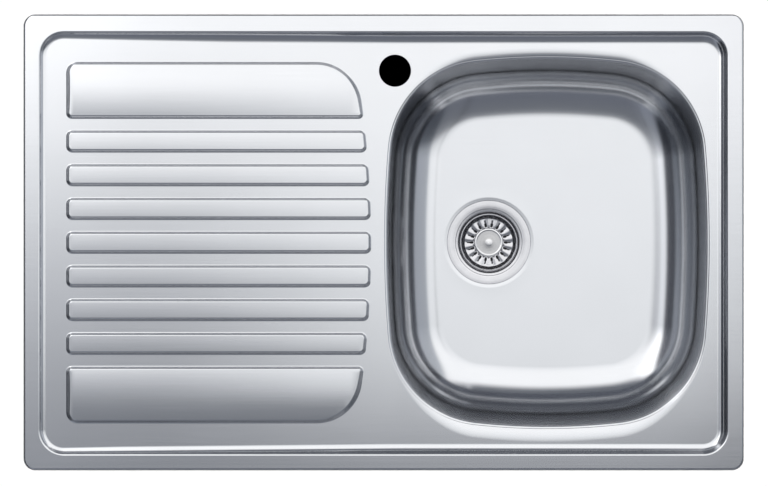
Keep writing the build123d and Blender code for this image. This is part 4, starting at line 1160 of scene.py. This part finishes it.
def make_tent():
    """A studio tent that only reflections see: bright behind the sink and dark in front and at the sides."""
    points, faces = [(0, 0, tent_radius_m)], []
    for ring in range(1, tent_rings + 1):
        zenith = math.radians(tent_zenith) * ring / tent_rings
        flat, z = tent_radius_m * math.sin(zenith), tent_radius_m * math.cos(zenith)
        for step in range(tent_steps):
            turn = 2 * math.pi * step / tent_steps
            points.append((flat * math.cos(turn), flat * math.sin(turn), z))
    for step in range(tent_steps):
        after = (step + 1) % tent_steps
        faces.append((0, 1 + after, 1 + step))
        for first in range(1, 1 + (tent_rings - 1) * tent_steps, tent_steps):
            faces.append((first + step, first + after, first + after + tent_steps, first + step + tent_steps))

    material, n = bare_material("tent")
    axes = n.make("SeparateXYZ", {0: n.place()}).outputs
    across = n.math("MULTIPLY_ADD", axes["Y"], 0.5 / tent_radius_m, 0.5)
    aside = n.math("MULTIPLY_ADD", axes["X"], 0.5 / tent_radius_m, 0.5)
    right = n.smooth(axes["X"], TENT_LEFT_TO_RIGHT)
    glow = n.mix(right, n.ramp(across, TENT_LEFT), n.ramp(across, TENT_RIGHT))
    glow = n.vector("MULTIPLY", glow, n.ramp(aside, TENT_X, "EASE"))
    panel = n.math("MULTIPLY", n.smooth(axes["X"], TENT_PANEL_LEFT), n.smooth(axes["X"], TENT_PANEL_RIGHT))
    glow = n.mix(panel, glow, n.ramp(across, TENT_PANEL))
    glow = n.mix(n.smooth(axes["Z"], TENT_TO_FOOT), glow, TENT_FOOT)
    n.end("Material", n.make("Emission", {"Color": glow, "Strength": TENT_STRENGTH}))
    tent = stage_mesh("tent", points, faces, material, "camera", "diffuse", "transmission", "shadow")
    tent.data.shade_smooth()


def make_edge_card():
    """A dark frame just under the rim's edge, seen only by reflections, that draws the rim's outline."""
    points = []
    for gap in (card_gap, card_gap + card_width):
        half_x, half_y = (overall_length / 2 + gap) * MM, (overall_width / 2 + gap) * MM
        points += [(x * half_x, y * half_y, card_z_m) for x, y in SQUARE]
    faces = [(i, (i + 1) % 4, 4 + (i + 1) % 4, 4 + i) for i in range(4)]
    material, n = bare_material("edge_card")
    n.end("Material", n.make("BsdfDiffuse", {"Color": CARD_COLOR}))
    stage_mesh("edge_card", points, faces, material, "camera", "diffuse", "transmission", "shadow")


def make_tap_flag():
    """A black card low under the tap hole, unseen itself, that darkens the floor seen through the hole."""
    reach, z = tap_flag_reach_m, lowest_m + tap_flag_rise_m
    points = [(tap_hole_x * MM + x * reach, tap_hole_y * MM + y * reach, z) for x, y in SQUARE]
    material, n = bare_material("tap_flag")
    surface(n, (0, 0, 0, 1), 1.0)
    stage_mesh("tap_flag", points, [(0, 1, 2, 3)], material, "camera", "glossy", "transmission")


def make_world():
    """White to the camera and in reflections, dim for the light that surfaces gather."""
    world = bpy.data.worlds.new("studio")
    bpy.context.scene.world = world
    world.use_nodes = True
    n = Nodes(world.node_tree)
    path = n.make("LightPath").outputs
    seen = n.math("MAXIMUM", path["Is Camera Ray"], path["Is Glossy Ray"])
    seen = n.math("MAXIMUM", seen, path["Is Transmission Ray"])
    strength = n.math("MULTIPLY_ADD", seen, 1.0 - WORLD_FILL, WORLD_FILL)
    n.end("World", n.make("Background", {"Color": (1, 1, 1, 1), "Strength": strength}))


def group(name, pieces):
    """A collection of pieces for a lamp to light."""
    collection = bpy.data.collections.new(name)
    for piece in pieces:
        collection.objects.link(piece)
    return collection


def make_lights(floor):
    """An overhead sun for the floor alone, and soft lamps for the object."""
    data = bpy.data.lights.new("floor_sun", "SUN")
    data.energy, data.angle = SUN_STRENGTH, math.radians(SUN_ANGLE)
    sun = linked("floor_sun", data)
    sun.location = SUN_PLACE
    sun.light_linking.receiver_collection = group("floor_only", [floor])
    all_but_floor = group("object_only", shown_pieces())
    for name, energy, place, size in SOFT_LAMPS:
        data = bpy.data.lights.new(name, "AREA")
        data.energy, data.shape, data.size = energy, "SQUARE", size
        lamp = linked(name, data)
        lamp.location = place
        lamp.rotation_euler = (-lamp.location).to_track_quat("-Z", "Y").to_euler()
        lamp.visible_glossy = False
        lamp.light_linking.receiver_collection = all_but_floor


floor = make_floor()
make_tent()
make_edge_card()
make_tap_flag()
make_world()
make_lights(floor)

# ==== camera
photo_width = 768
pixel_m = 0.0010968  # on the rim's plane
photo_centre_m = (0.00044, -0.00066)
camera_height_m, camera_far_m = 8.0, 50


def make_camera():
    """Straight above the rim, far enough away that the bowl shows no lean."""
    data = bpy.data.cameras.new("camera")
    camera = linked("camera", data)
    camera.location = (*photo_centre_m, camera_height_m + rim_height * MM)
    data.sensor_fit = "HORIZONTAL"
    data.angle = 2 * math.atan(photo_width * pixel_m / 2 / camera_height_m)
    data.clip_end = camera_far_m
    bpy.context.scene.camera = camera


make_camera()
bpy.context.scene.view_settings.view_transform = "Standard"
